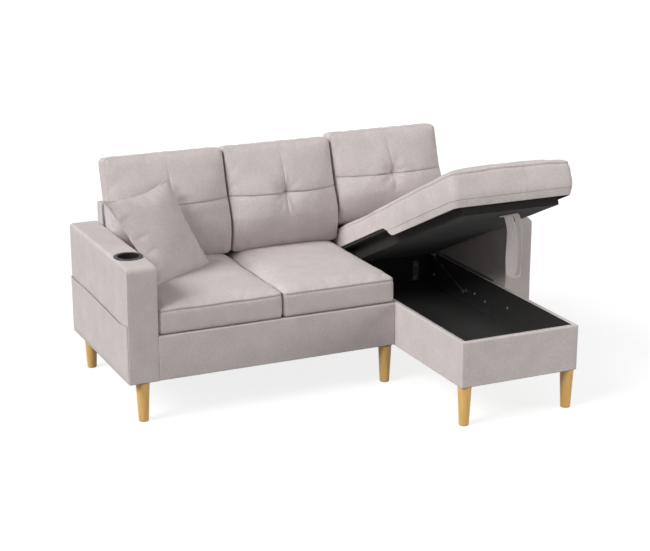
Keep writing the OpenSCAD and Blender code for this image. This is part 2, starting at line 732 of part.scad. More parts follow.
// Lid: board, timber frame with its lining, padded skirt round the front part, and the cushion
module lid_plan(inset) {
    r = lid_corner_r - inset;
    x0 = lid_x0 + inset;
    x1 = lid_x0 + lid_w - inset;
    y0 = lid_y0 + inset;
    translate([x0, y0 + r]) square([x1 - x0, lid_y1 - y0 - r]);
    translate([x0 + r, y0]) square([x1 - x0 - 2 * r, r + 1]);
    for (x = [x0 + r, x1 - r]) translate([x, y0 + r]) circle(r);
}
module lid_board() {
    floor_plan() color(timber_c) lid_pose() translate([0, 0, lid_frame_top]) linear_extrude(height = lid_board_t) lid_plan(skirt_t);
}
module lid_side_rails() {
    floor_plan() color(lining_c) lid_pose() for (x = [box_x0 + lid_frame_side, box_x1 - lid_frame_side - lid_rail_t])
        translate([x, lid_frame_y0, lid_frame_bottom]) cube([lid_rail_t, lid_frame_y1 - lid_frame_y0, lid_frame_h]);
}
module lid_cross_rails() {
    x0 = box_x0 + lid_frame_side + lid_rail_t;
    run = lid_frame_y1 - lid_frame_y0 - lid_rail_t;
    floor_plan() color(lining_c) lid_pose() for (i = [0:3])
        translate([x0, lid_frame_y0 + run * i / 3, lid_frame_bottom]) cube([chaise_w - 2 * (x0 - box_x0), lid_rail_t, lid_frame_h]);
}
module lid_lining() {
    floor_plan() color(lining_c) lid_pose() translate([box_x0 + lid_frame_side, lid_frame_y0, lid_frame_bottom - lining_t])
        cube([chaise_w - 2 * lid_frame_side, lid_frame_y1 - lid_frame_y0, lining_t]);
}
// Skirt: a front band that turns both corners, and two side bands that end in an S-curve
module lid_skirt() {
    seam_y = lid_y0 + 1.5 * lid_corner_r;
    end_y = 80;
    s_run = 93;
    h = lid_skirt_h;
    floor_plan() color(fabric_c) lid_pose() {
        translate([0, 0, hinge_z - h]) linear_extrude(height = h) difference() {
            lid_plan(0);
            lid_plan(skirt_t);
            translate([0, seam_y]) square([2 * sofa_w, 2 * sofa_d]);
        }
        for (x = [lid_x0, lid_x0 + lid_w - skirt_t]) along_x(x, skirt_t) polygon(concat(
            [[seam_y, hinge_z], [seam_y, hinge_z - h]],
            [for (i = [0:8]) [end_y - s_run + s_run * i / 8, hinge_z - h + h * (1 - cos(22.5 * i)) / 2]]));
    }
}
// Pull strap: a loop of fabric band, two legs that meet at the bottom round a finger gap
module pull_strap() {
    w = strap_w;
    foot_r = 18;
    foot_x = 0.84 * w;
    slit_top = 0.5 * strap_l;
    half_t = strap_t / 2;
    at = opened(strap_hinge_y - hinge_y, lid_frame_bottom - lining_t - half_t - 2 * rest_gap - hinge_z);
    floor_plan() color(fabric_c) translate([strap_x - w / 2, hinge_y + at[0], hinge_z + at[1] - strap_l]) {
        x_rod(0, w, 0, strap_l, half_t);
        along_y(-half_t, strap_t) difference() {
            union() {
                polygon([[0, strap_l], [w, strap_l], [1.1 * w, 0.8 * strap_l], [foot_x + foot_r, foot_r],
                         [foot_x - foot_r, foot_r], [0.16 * w, 0.14 * strap_l], [0.05 * w, 0.45 * strap_l], [0.1 * w, 0.8 * strap_l]]);
                translate([foot_x, foot_r]) circle(foot_r);
            }
            translate([foot_x, foot_r + 2]) circle(7);
            polygon([[foot_x - 6, foot_r + 2], [foot_x + 6, foot_r + 2], [foot_x - 2, slit_top], [foot_x - 6, slit_top]]);
        }
    }
}

// Grid stations from 0 to 1, closer towards 1, and the same run out to both sides of a middle
function half_grid(n, first) = concat([0], first > 0 ? [first] : [], [for (i = [1:n]) first + (1 - first) * sin(90 * i / n)]);
function full_grid(mid, half) = concat(
    [for (i = [len(half) - 1:-1:1]) mid - (1 + mid) * half[i]], [mid],
    [for (i = [1:len(half) - 1]) mid + (1 - mid) * half[i]]);

// Moves points near the corners of a rectangle with half sides a and b onto a corner of radius r
function rounded(x, y, a, b, r) =
    let (dx = abs(x) - a + r, dy = abs(y) - b + r)
    dx <= 0 || dy <= 0 ? [x, y] :
    let (k = max(dx, dy) / norm([dx, dy])) [sign(x) * (a - r + dx * k), sign(y) * (b - r + dy * k)];

// A closed stuffed form: point(u, v, t) is on the bottom face at t = 0, the top face at t = 1,
// and on the border between them, where u or v is 1 or -1
module stuffed(us, vs, rings, point) {
    nu = len(us) - 1;
    nv = len(vs) - 1;
    grid = (nu + 1) * (nv + 1);
    edge = concat([for (i = [0:nu - 1]) [i, 0]], [for (j = [0:nv - 1]) [nu, j]],
                  [for (i = [nu:-1:1]) [i, nv]], [for (j = [nv:-1:1]) [0, j]]);
    n = len(edge);
    last = len(rings);
    points = concat(
        [for (u = us, v = vs) point(u, v, 0)],
        [for (u = us, v = vs) point(u, v, 1)],
        [for (t = rings, e = edge) point(us[e[0]], vs[e[1]], t)]);
    function id(i, j) = i * (nv + 1) + j;
    function ring_id(k, m) = let (e = edge[m % n])
        k == 0 ? id(e[0], e[1]) : k == last + 1 ? grid + id(e[0], e[1]) : 2 * grid + (k - 1) * n + m % n;
    faces = concat(
        [for (i = [0:nu - 1], j = [0:nv - 1]) each [
            [id(i, j), id(i + 1, j), id(i + 1, j + 1)], [id(i, j), id(i + 1, j + 1), id(i, j + 1)],
            [grid + id(i, j), grid + id(i, j + 1), grid + id(i + 1, j + 1)],
            [grid + id(i, j), grid + id(i + 1, j + 1), grid + id(i + 1, j)]]],
        [for (k = [0:last], m = [0:n - 1]) each [
            [ring_id(k, m), ring_id(k + 1, m), ring_id(k + 1, m + 1)],
            [ring_id(k, m), ring_id(k + 1, m + 1), ring_id(k, m + 1)]]]);
    polyhedron(points, faces, convexity = 4);
}
function dome(u, v, power = 3) = (1 - pow(abs(u), power)) * (1 - pow(abs(v), power));
// How far the border is drawn in at a place along a side: most halfway between corners and between seams
function drawn_in(along, t, most) = most * (1 - pow(along, 4)) * (0.35 + 0.65 * sin(180 * t));

// A flat-laid box cushion: rectangle, bottom, seam height, crown, corner radius, draw-in, how soon
// its top rises beside the seam, and a further rise in front of the place v = rise_end
module box_cushion(x0, x1, y0, y1, bottom, seam, crown, front_r, draw, nu, nv, power = 3, rise = 0, rise_end = 1) {
    a = (x1 - x0) / 2;
    b = (y1 - y0) / 2;
    function front(v) = v < rise_end ? 1 - pow(abs(2 * (v + 1) / (rise_end + 1) - 1), 4) : 0;
    stuffed(full_grid(0, half_grid(nu, 0)), full_grid(0, half_grid(nv, 0)), [0.15, 0.5, 0.85], function (u, v, t)
        let (p = rounded(u * a, v * b, a, b, front_r),
             ix = abs(u) == 1 ? sign(u) * drawn_in(v, t, draw) : 0,
             iy = abs(v) == 1 ? sign(v) * drawn_in(u, t, draw) : 0)
        [(x0 + x1) / 2 + p[0] - ix, (y0 + y1) / 2 + p[1] - iy,
         t == 1 ? seam + crown * dome(u, v, power) + rise * (1 - pow(abs(u), 4)) * front(v) : bottom + (seam - bottom) * t]);
}
module chaise_cushion() {
    floor_plan() color(fabric_c) lid_pose()
        box_cushion(lid_x0, lid_x0 + lid_w, lid_y0, lid_y1, hinge_z + rest_gap, hinge_z + lid_border, lid_crown,
                    lid_corner_r, 2, 7, 9, lid_crown_power, lid_front_rise, lid_rise_end);
}
module seat_cushion(i) {
    x0 = cushion_x[i];
    floor_plan() color(fabric_c)
        box_cushion(x0, x0 + cushion_w[i], 0.5, seat_back_y, seat_bottom, seat_seam, seat_crown, 20, 3, 5, 5);
}
module left_seat_cushion() {
    seat_cushion(0);
}
module right_seat_cushion() {
    seat_cushion(1);
}

// Back cushions lean on the back frame. The front is crowned and quartered by seams that meet in a tuft
module back_cushion(x0, x1, bottom, height, shift, foot_rise) {
    a = (x1 - x0) / 2;
    b = height / 2;
    mid = 2 * tuft_share - 1;
    belly = -0.3;
    valley = 0.05;
    seam_depth = 8;
    tuft_depth = 17;
    tuft_r = 60;
    corner_r = 38;
    draw = 4;
    rear_foot = rear_foot_y(bottom);
    front_foot = rear_foot - back_gusset;
    function fullness(u, v) = (1 - pow(abs(u), 3)) * (1 - pow(v > belly ? (v - belly) / (1 - belly) : (belly - v) / (1 + belly), 3));
    function quilted(u, v) =
        let (rr = norm([u * a, (v - mid) * b]),
             groove = max(abs(v - mid) < valley / 2 ? 1 : 0, abs(u) < valley / 2 ? (v > mid ? 1 : 0.4) : 0))
        back_crown * fullness(u, v) - (abs(u) < 1 && abs(v) < 1 ? seam_depth * groove + tuft_depth * exp(-pow(rr / tuft_r, 2)) : 0);
    floor_plan() color(fabric_c)
        stuffed(full_grid(0, half_grid(5, valley)), full_grid(mid, half_grid(5, valley)), [0.15, 0.5, 0.85], function (u, v, t)
            let (p = rounded(u * a, v * b, a, b, corner_r),
                 ix = abs(u) == 1 ? sign(u) * drawn_in(v, t, draw) : 0,
                 iz = v == 1 ? drawn_in(u, t, draw) : 0,
                 up = p[1] + b - iz,
                 rear = rear_foot + back_lean * up + (t == 0 ? back_rear_crown * dome(u, v) : 0),
                 front = front_foot + back_seam_lean * up - (t == 1 ? quilted(u, v) : 0),
                 y = rear + (front - rear) * t)
            [(x0 + x1) / 2 + p[0] - ix, y + shift[0],
             bottom + up + shift[1] + foot_rise * max(0, rear_foot - y) * pow(1 - up / (2 * b), 2)]);
}
module left_back_cushion() {
    back_cushion(cushion_x[0], cushion_x[0] + cushion_w[0], back_bottom, back_cushion_h, [0, 0], 0);
}
module middle_back_cushion() {
    back_cushion(cushion_x[1], cushion_x[1] + cushion_w[1], back_bottom, back_cushion_h, [0, 0], 0);
}
// The right back cushion stands on the lid, which pushes it up along its lean when it opens
lid_push = 36.3;
module right_back_cushion() {
    lean = atan(back_lean);
    back_cushion(lid_x0 + 0.5, lid_x0 + lid_w, hinge_z + lid_border + lid_crown + rest_gap, back_cushion_h - back_squash,
                 [lid_push * sin(lean), lid_push * cos(lean)], 0.32);
}

// Throw pillow: four corners, set by hand. It rests on the left seat cushion's crown and leans in the corner
pillow_corners = [[-100, 325, 315.4], [235, 530, 321.4], [367, 397, -13.1], [74, 208, -14.3]];
module throw_pillow() {
    c = [for (p = pillow_corners) [arm_w + p[0], p[1], seat_seam + seat_crown + 15 + p[2]]];
    face = cross(c[2] - c[3], c[0] - c[3]);
    n = face / norm(face);
    draw = 0.085;
    edge_t = 2;
    floor_plan() color(fabric_c)
        stuffed(full_grid(0, half_grid(6, 0)), full_grid(0, half_grid(6, 0)), [0.5], function (u, v, t)
            let (pu = u * (1 - draw * (1 - v * v)), pv = v < 0 ? v : v * (1 - draw * (1 - u * u)),
                 low = c[3] + (c[2] - c[3]) * (1 + pu) / 2,
                 high = c[0] + (c[1] - c[0]) * (1 + pu) / 2,
                 puff = pow(max(0, 1 - u * u), 0.7) * pow(max(0, 1 - v * v), 0.7))
            low + (high - low) * (1 + pv) / 2 + n * (2 * t - 1) * (edge_t + (pillow_t / 2 - edge_t) * puff));
}

left_arm_cover();
left_arm_timbers();
cup_holder();
side_pocket();
right_arm_cover();
right_arm_timbers();
seat_front_board();
seat_front_cover();
seat_rear_rail();
seat_cross_rails();
seat_springs();
spring_clips();
seat_deck_pad();
seat_dust_cover();
corner_blocks();
left_back_cover();
right_back_cover();
back_timbers();
storage_front_panel();
storage_side_panels();
storage_rear_panel();
storage_floor();
storage_cover();
storage_lining();
storage_battens();
rim_bar();
back_bracket();
frame_bolts();
leg(0);  // leg_left_arm_front
leg(1);  // leg_left_arm_rear
leg(2);  // leg_seat_front
leg(3);  // leg_seat_rear
leg(4);  // leg_chaise_front_left
leg(5);  // leg_chaise_front_right
leg(6);  // leg_right_arm_front
leg(7);  // leg_right_arm_rear
leg_plates();
leg_bolts();
hinge_box_plates();
hinge_pins();
stay_box_studs();
hinge_lid_plates();
stay_lid_studs();
stay_tube_left();
stay_tube_right();
stay_rod_left();
stay_rod_right();
lid_board();
lid_side_rails();
lid_cross_rails();
lid_lining();
lid_skirt();
chaise_cushion();
pull_strap();
left_seat_cushion();
right_seat_cushion();
left_back_cushion();
middle_back_cushion();
right_back_cushion();
throw_pillow();
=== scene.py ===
import json
import math

import bmesh
import bpy
import numpy as np
from mathutils import Matrix, Vector, noise


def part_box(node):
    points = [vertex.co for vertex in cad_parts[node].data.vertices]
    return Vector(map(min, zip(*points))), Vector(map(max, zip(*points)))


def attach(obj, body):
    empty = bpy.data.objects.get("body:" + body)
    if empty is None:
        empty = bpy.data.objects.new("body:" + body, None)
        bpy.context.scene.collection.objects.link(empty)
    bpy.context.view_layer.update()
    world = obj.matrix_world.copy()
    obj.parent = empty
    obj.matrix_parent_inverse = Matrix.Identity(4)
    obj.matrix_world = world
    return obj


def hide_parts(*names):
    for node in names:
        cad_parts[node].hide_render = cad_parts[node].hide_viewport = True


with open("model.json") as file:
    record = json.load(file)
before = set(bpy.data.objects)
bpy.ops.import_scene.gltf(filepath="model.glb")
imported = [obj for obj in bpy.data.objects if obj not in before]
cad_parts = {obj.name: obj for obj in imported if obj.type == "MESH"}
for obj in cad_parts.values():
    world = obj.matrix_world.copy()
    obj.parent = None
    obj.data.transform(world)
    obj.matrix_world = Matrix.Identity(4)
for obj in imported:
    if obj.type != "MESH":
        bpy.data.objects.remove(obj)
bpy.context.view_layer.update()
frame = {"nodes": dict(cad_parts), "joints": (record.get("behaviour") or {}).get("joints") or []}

nodes = frame["nodes"]


# Timber frames of the arms, seat, back, box and lid: sawn softwood rails and board,
# glued, bolted and stapled. They show from below and where a cushion is out.
class Strand:
    """A value among the nodes. Sums and products of strands add Math nodes."""

    def __init__(self, wiring, socket):
        self.wiring, self.socket = wiring, socket

    def _math(self, operation, first, second):
        return self.wiring.node("Math", {"operation": operation}, {0: first, 1: second})

    def __add__(self, other): return self._math("ADD", self, other)
    def __radd__(self, other): return self._math("ADD", other, self)
    def __mul__(self, other): return self._math("MULTIPLY", self, other)
    def __rmul__(self, other): return self._math("MULTIPLY", other, self)


class Wiring:
    """The nodes of a material or of the world, and the links between them."""

    def __init__(self, tree):
        self.tree = tree

    def node(self, kind, settings, sockets, out=0):
        made = self.tree.nodes.new("ShaderNode" + kind)
        for key, value in settings.items():
            setattr(made, key, value)
        for key, value in sockets.items():
            if isinstance(value, Strand):
                self.tree.links.new(value.socket, made.inputs[key])
            else:
                made.inputs[key].default_value = value
        return Strand(self, made.outputs[out])


class Finish(Wiring):
    """A material in the making, with its constants set on the shader's own sockets."""

    def __init__(self, name, **constants):
        self.material = bpy.data.materials.new(name)
        self.material.use_nodes = True
        super().__init__(self.material.node_tree)
        self.shader = self.tree.nodes["Principled BSDF"]
        for socket, value in constants.items():
            self.shader.inputs[socket.replace("_", " ")].default_value = value

    def spot(self, stretch=(1, 1, 1)):
        """Object coordinates, each axis times its stretch."""
        place = self.node("TexCoord", {}, {}, "Object")
        return self.node("Mapping", {}, {"Vector": place, "Scale": stretch})

    def noise(self, at, scale, detail=2.0):
        return self.node("TexNoise", {}, {"Vector": at, "Scale": scale, "Detail": detail})

    def between(self, share, first, second):
        first, second = (shade if isinstance(shade, Strand) else (*shade, 1) for shade in (first, second))
        return self.node("Mix", {"data_type": "RGBA"}, {0: share, 6: first, 7: second}, 2)

    def feed(self, socket, strand):
        self.tree.links.new(strand.socket, self.shader.inputs[socket])

    def bumps(self, height, depth, strength=0.6):
        self.feed("Normal", self.node("Bump", {}, {"Height": height, "Distance": depth, "Strength": strength}))


def sawn_timber(name, stretch):
    timber = Finish(name)
    grain = timber.noise(timber.spot(stretch), 1.0, 5.0)
    bands = timber.node("TexWave", {"bands_direction": "DIAGONAL"},
                        {"Vector": timber.spot(stretch), "Scale": 0.45, "Distortion": 5.0, "Detail": 2.0})
    tone = timber.between(grain * 0.7 + bands * 0.3, (0.50, 0.33, 0.17), (0.70, 0.52, 0.31))
    timber.feed("Base Color", tone)
    timber.feed("Roughness", 0.7 + grain * 0.2)
    timber.bumps(grain + bands * 0.3, 0.0006)
    return timber.material


def finish_nodes(names, material):
    for name in names:
        for place in nodes[name].material_slots:
            place.material = material


finish_nodes(["seat_front_board", "seat_rear_rail", "storage_front_panel", "storage_rear_panel",
              "back_timbers"], sawn_timber("sawn_timber_across", (3, 60, 60)))
finish_nodes(["seat_cross_rails", "storage_side_panels", "storage_floor", "corner_blocks",
              "left_arm_timbers", "right_arm_timbers"], sawn_timber("sawn_timber_along", (60, 3, 60)))


# Sinuous springs in their clips, bolts, plates, stays and the rim's bar: steel wire and sheet with
# a dark, grey or bright satin finish, a little uneven from handling. The clips and the cup holder
# are moulded in black plastic.
def coated_steel(name, shade, roughness):
    steel = Finish(name, Metallic=0.85)
    cloudy = steel.noise(steel.spot(), 60, 4.0)
    fine = steel.noise(steel.spot(), 900)
    darker, lighter = ([c * part for c in shade] for part in (0.75, 1.25))
    steel.feed("Base Color", steel.between(cloudy, darker, lighter))
    steel.feed("Roughness", roughness - 0.1 + cloudy * 0.2)
    steel.bumps(fine, 0.0001, 0.3)
    return steel.material


def black_plastic():
    plastic = Finish("black_plastic", Specular_IOR_Level=0.5)
    grain = plastic.noise(plastic.spot(), 1500)
    cloudy = plastic.noise(plastic.spot(), 40)
    plastic.feed("Base Color", plastic.between(cloudy, (0.012, 0.012, 0.013), (0.022, 0.022, 0.023)))
    plastic.feed("Roughness", 0.32 + cloudy * 0.12)
    plastic.bumps(grain, 0.00008, 0.4)
    return plastic.material


finish_nodes(["seat_springs", "leg_plates", "leg_bolts", "hinge_box_plates", "hinge_lid_plates"],
             coated_steel("dark_coated_steel", (0.10, 0.10, 0.105), 0.42))
finish_nodes(["rim_bar", "back_bracket", "stay_tube_left", "stay_tube_right"],
             coated_steel("grey_coated_steel", (0.24, 0.24, 0.245), 0.42))
finish_nodes(["frame_bolts", "hinge_pins", "stay_box_studs", "stay_lid_studs", "stay_rod_left",
              "stay_rod_right"], coated_steel("bright_steel", (0.55, 0.55, 0.56), 0.32))
finish_nodes(["spring_clips", "cup_holder"], black_plastic())


# Black lining of the box and lid: thin non-woven cloth with a fine embossed dot, stapled over
# the boards, rails and battens.
def lining_cloth(name, on_uv):
    lining = Finish(name, Sheen_Weight=0.03, Sheen_Roughness=0.6, Specular_IOR_Level=0.3)
    at = lining.node("UVMap", {"uv_map": "weave"}, {}) if on_uv else lining.spot()
    dots = lining.node("TexVoronoi", {"feature": "F1"}, {"Vector": at, "Scale": 420, "Randomness": 0.15})
    fibres = lining.noise(at, 700, 3.0)
    cloudy = lining.noise(at, 25)
    tone = lining.between(cloudy * 0.5 + fibres * 0.5, (0.009, 0.0088, 0.0086), (0.028, 0.0262, 0.0245))
    lining.feed("Base Color", tone)
    lining.feed("Roughness", 0.85 + fibres * 0.1)
    lining.bumps(dots + fibres * 0.4, 0.0003)
    return lining.material


finish_nodes(["storage_battens", "lid_board", "lid_side_rails", "lid_cross_rails"],
             lining_cloth("black_lining_wrapped", False))


# Deck pads over the springs: two sheets of black needled felt, thicker where the springs press
# into them from below.
def cut_block(*cuts_by_axis):
    """A closed box of quads, cut at the given places along X, Y and Z."""
    bm = bmesh.new()
    bmesh.ops.create_cube(bm, size=1.0)
    for axis, cuts in enumerate(cuts_by_axis):
        along = [e for e in bm.edges if abs((e.verts[0].co - e.verts[1].co)[axis]) > 0.5]
        if len(cuts) > 2:
            bmesh.ops.subdivide_edges(bm, edges=along, cuts=len(cuts) - 2)
    for v in bm.verts:
        v.co = [cuts[round((v.co[axis] + 0.5) * (len(cuts) - 1))] for axis, cuts in enumerate(cuts_by_axis)]
    bm.normal_update()
    return bm


def places(seams, step, near=(0.003, 0.008, 0.014, 0.023)):
    """Cuts from the first seam to the last, closer together beside each seam."""
    cuts = []
    for start, end in zip(seams, seams[1:]):
        close = [d for d in near if d < (end - start) * 0.4]
        reach = close[-1] if close else 0
        run = end - start - 2 * reach
        count = max(1, round(run / step))
        cuts += [start, *(start + d for d in close)]
        cuts += [start + reach + run * i / count for i in range(1, count)]
        cuts += [end - d for d in reversed(close)]
    return cuts + [seams[-1]]


def points_of(bm):
    return np.array([v.co for v in bm.verts])


def set_points(bm, points):
    for v, p in zip(bm.verts, points.tolist()):
        v.co = p
    bm.normal_update()


def read_all(items, key, width, kind=float):
    """One value or vector of every item of a mesh, as an array."""
    values = np.zeros(len(items) * width, kind)
    items.foreach_get(key, values)
    return values.reshape(-1, width) if width > 1 else values


def lay_weave(mesh):
    """UVs in metres, flat to the nearest side, so that threads run straight on every panel."""
    uv = mesh.uv_layers.new(name="weave")
    side = np.abs(read_all(mesh.polygons, "normal", 3)).argmax(1)
    side = np.repeat(side, read_all(mesh.polygons, "loop_total", 1, int))
    corners = read_all(mesh.vertices, "co", 3)[read_all(mesh.loops, "vertex_index", 1, int)]
    across = np.where(side == 0, corners[:, 1], corners[:, 0])
    along = np.where(side == 2, corners[:, 1], corners[:, 2])
    uv.data.foreach_set("uv", np.stack([across, along], 1).ravel())


def put(name, bm, material, body, stands_for, levels=1, stitch_lines_and_painted_shade=None):
    """Makes the bmesh a piece that rides on a body and stands for its CAD nodes."""
    mesh = bpy.data.meshes.new(name)
    bm.to_mesh(mesh)
    bm.free()
    # The mask darkens the fabric along seams: the stitches' own line together with painted shade in the seam's
    # groove.
    if stitch_lines_and_painted_shade is not None:
        mesh.attributes.new("stitch_lines_and_painted_shade", "FLOAT", "POINT").data.foreach_set("value", np.clip(stitch_lines_and_painted_shade, 0, 1))
    mesh.shade_smooth()
    lay_weave(mesh)
    mesh.materials.append(material)
    piece = bpy.data.objects.new(name, mesh)
    bpy.context.scene.collection.objects.link(piece)
    if levels:
        soften = piece.modifiers.new("soften", "SUBSURF")
        soften.levels = soften.render_levels = levels
    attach(piece, body)
    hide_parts(*stands_for)
    return piece


lining = lining_cloth("black_lining_laid", True)
lo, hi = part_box("seat_deck_pad")
wide, half_thick, split, press = hi.x - lo.x, (lo.z + hi.z) / 2, 0.001, 0.0006
for name, first, last in (("deck_pad_left", 0.0, 0.5), ("deck_pad_right", 0.5, 1.0)):
    pad = cut_block(places([lo.x + wide * first + split * (first > 0), lo.x + wide * last - split], 0.02),
                    places([lo.y, hi.y], 0.03), [lo.z, half_thick, hi.z])
    felt = points_of(pad)
    rumple = np.array([noise.noise(Vector((x * 9, y * 9, 1))) for x, y, _ in felt.tolist()])
    felt[:, 2] -= (felt[:, 2] > half_thick) * (press + press * rumple)
    set_points(pad, felt)
    put(name, pad, lining, "sofa", ["seat_deck_pad"])


# Dust cover under the seat, cut away round the corner blocks, and the box's lining, folded up its
# four walls. Both are stapled tight to the timber and give a little between the staples.
def unevenness(points, scale, seed):
    at = (Vector((x * scale, y * scale, z * scale + seed)) for x, y, z in points.tolist())
    return np.array([noise.noise(place) for place in at])


def lining_sheet(name, bm, body, node, turn=None):
    """Cloth of one thickness on the side of the faces, stretched over timber."""
    give, thick = 0.0004, 0.0008
    points = points_of(bm)
    normals = np.array([v.normal for v in bm.verts])
    set_points(bm, points - normals * (give + give * unevenness(points, 11, 5))[:, None])
    bmesh.ops.solidify(bm, geom=bm.faces[:], thickness=thick)
    if turn:
        bmesh.ops.transform(bm, matrix=turn, verts=bm.verts)
    bmesh.ops.recalc_face_normals(bm, faces=bm.faces)
    cloth = put(name, bm, lining, body, [node], 0)


def grid(across, along):
    """A flat grid of quads, and for each of its vertices its two places in across and along."""
    bm = bmesh.new()
    last = len(across) - 1, len(along) - 1
    bmesh.ops.create_grid(bm, x_segments=last[0], y_segments=last[1], size=0.5)
    return bm, [(v, across[round((v.co.x + 0.5) * last[0])], along[round((v.co.y + 0.5) * last[1])])
                for v in bm.verts]


def flat_cloth(across, along, z):
    bm, laid = grid(across, along)
    for v, x, y in laid:
        v.co = x, y, z
    bm.normal_update()
    return bm


lo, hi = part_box("seat_dust_cover")
wide, long, block = hi.x - lo.x, hi.y - lo.y, 0.045
bm = flat_cloth([*places([lo.x, hi.x - block], 0.05), hi.x],
                [lo.y, *places([lo.y + block, hi.y - block], 0.05), hi.y], hi.z)
cut_away = [f for f in bm.faces if f.calc_center_median().x > hi.x - block
            and not lo.y + block < f.calc_center_median().y < hi.y - block]
bmesh.ops.delete(bm, geom=cut_away, context="FACES")
lining_sheet("dust_cover_cloth", bm, "sofa", "seat_dust_cover")

lo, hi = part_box("storage_lining")
wide, long, tall = hi.x - lo.x, hi.y - lo.y, hi.z - lo.z
bm = cut_block(places([lo.x, hi.x], 0.05), places([lo.y, hi.y], 0.05), places([lo.z, hi.z], 0.03))
bmesh.ops.delete(bm, geom=[f for f in bm.faces if f.normal.z > 0.9], context="FACES")
lining_sheet("box_lining_cloth", bm, "sofa", "storage_lining")


# Arms: foam and fabric pulled tight over the timber. A strip runs up the front and over the top
# between two side panels, with a flat-felled seam along each edge. The cover fabric is a warm grey
# polyester with a short nap, woven close with slightly uneven threads.
def cover_cloth():
    cloth = Finish("cover_fabric", Sheen_Weight=0.18, Sheen_Roughness=0.45, Sheen_Tint=(0.9, 0.88, 0.86, 1))
    weave = cloth.node("UVMap", {"uv_map": "weave"}, {})
    here = cloth.spot()
    nap = cloth.noise(here, 190, 3.0)
    brushed = cloth.noise(here, 14)
    warp = cloth.noise(cloth.node("Mapping", {}, {"Vector": weave, "Scale": (1300, 50, 1)}), 1.0, 1.0)
    weft = cloth.noise(cloth.node("Mapping", {}, {"Vector": weave, "Scale": (50, 1300, 1)}), 1.0, 1.0)
    pitch = cloth.node("Mapping", {}, {"Vector": weave, "Scale": (2600, 2600, 1)})
    across, along = (cloth.node("SeparateXYZ", {}, {"Vector": pitch}, axis) for axis in (0, 1))
    wave = {"operation": "SINE"}
    threads = cloth.node("Math", wave, {0: across}) * cloth.node("Math", wave, {0: along})
    tone = nap * 0.42 + brushed * 0.20 + warp * 0.19 + weft * 0.19
    level = cloth.node("MapRange", {}, {"Value": tone, "From Min": 0.35, "From Max": 0.65})
    # Painted shade: the fabric turns towards (0.16, 0.14, 0.13) along the seam mask. This stands for the
    # stitches' own line and the shade in seam grooves, sewn channels and hollows.
    seam = cloth.node("Attribute", {"attribute_name": "stitch_lines_and_painted_shade"}, {}, "Fac")
    plain = cloth.between(level, (0.500, 0.450, 0.440), (0.680, 0.618, 0.608))
    cloth.feed("Base Color", cloth.between(seam * 0.75, plain, (0.16, 0.14, 0.13)))
    cloth.feed("Roughness", 0.82 + nap * 0.14)
    cloth.bumps(threads * 0.5 + warp * 0.7 + weft * 0.7 + nap * 1.2, 0.00035, 0.7)
    return cloth.material


def round_off(points, i, j, corner, inward, r):
    """Moves what is within r of a square edge onto the edge's rounding."""
    di = r - (points[:, i] - corner[0]) * inward[0]
    dj = r - (points[:, j] - corner[1]) * inward[1]
    near = (di > 1e-9) & (dj > 1e-9)
    di, dj = di[near], dj[near]
    draw = np.maximum(di, dj) / np.hypot(di, dj)
    points[near, i] = corner[0] + inward[0] * (r - di * draw)
    points[near, j] = corner[1] + inward[1] * (r - dj * draw)


def swell(bm, amount):
    """Moves every point along its normal by its own amount."""
    normals = np.array([v.normal for v in bm.verts])
    set_points(bm, points_of(bm) + normals * np.asarray(amount)[:, None])


def dip(distance, width, depth):
    return -depth * np.exp(-(distance / width) ** 2)


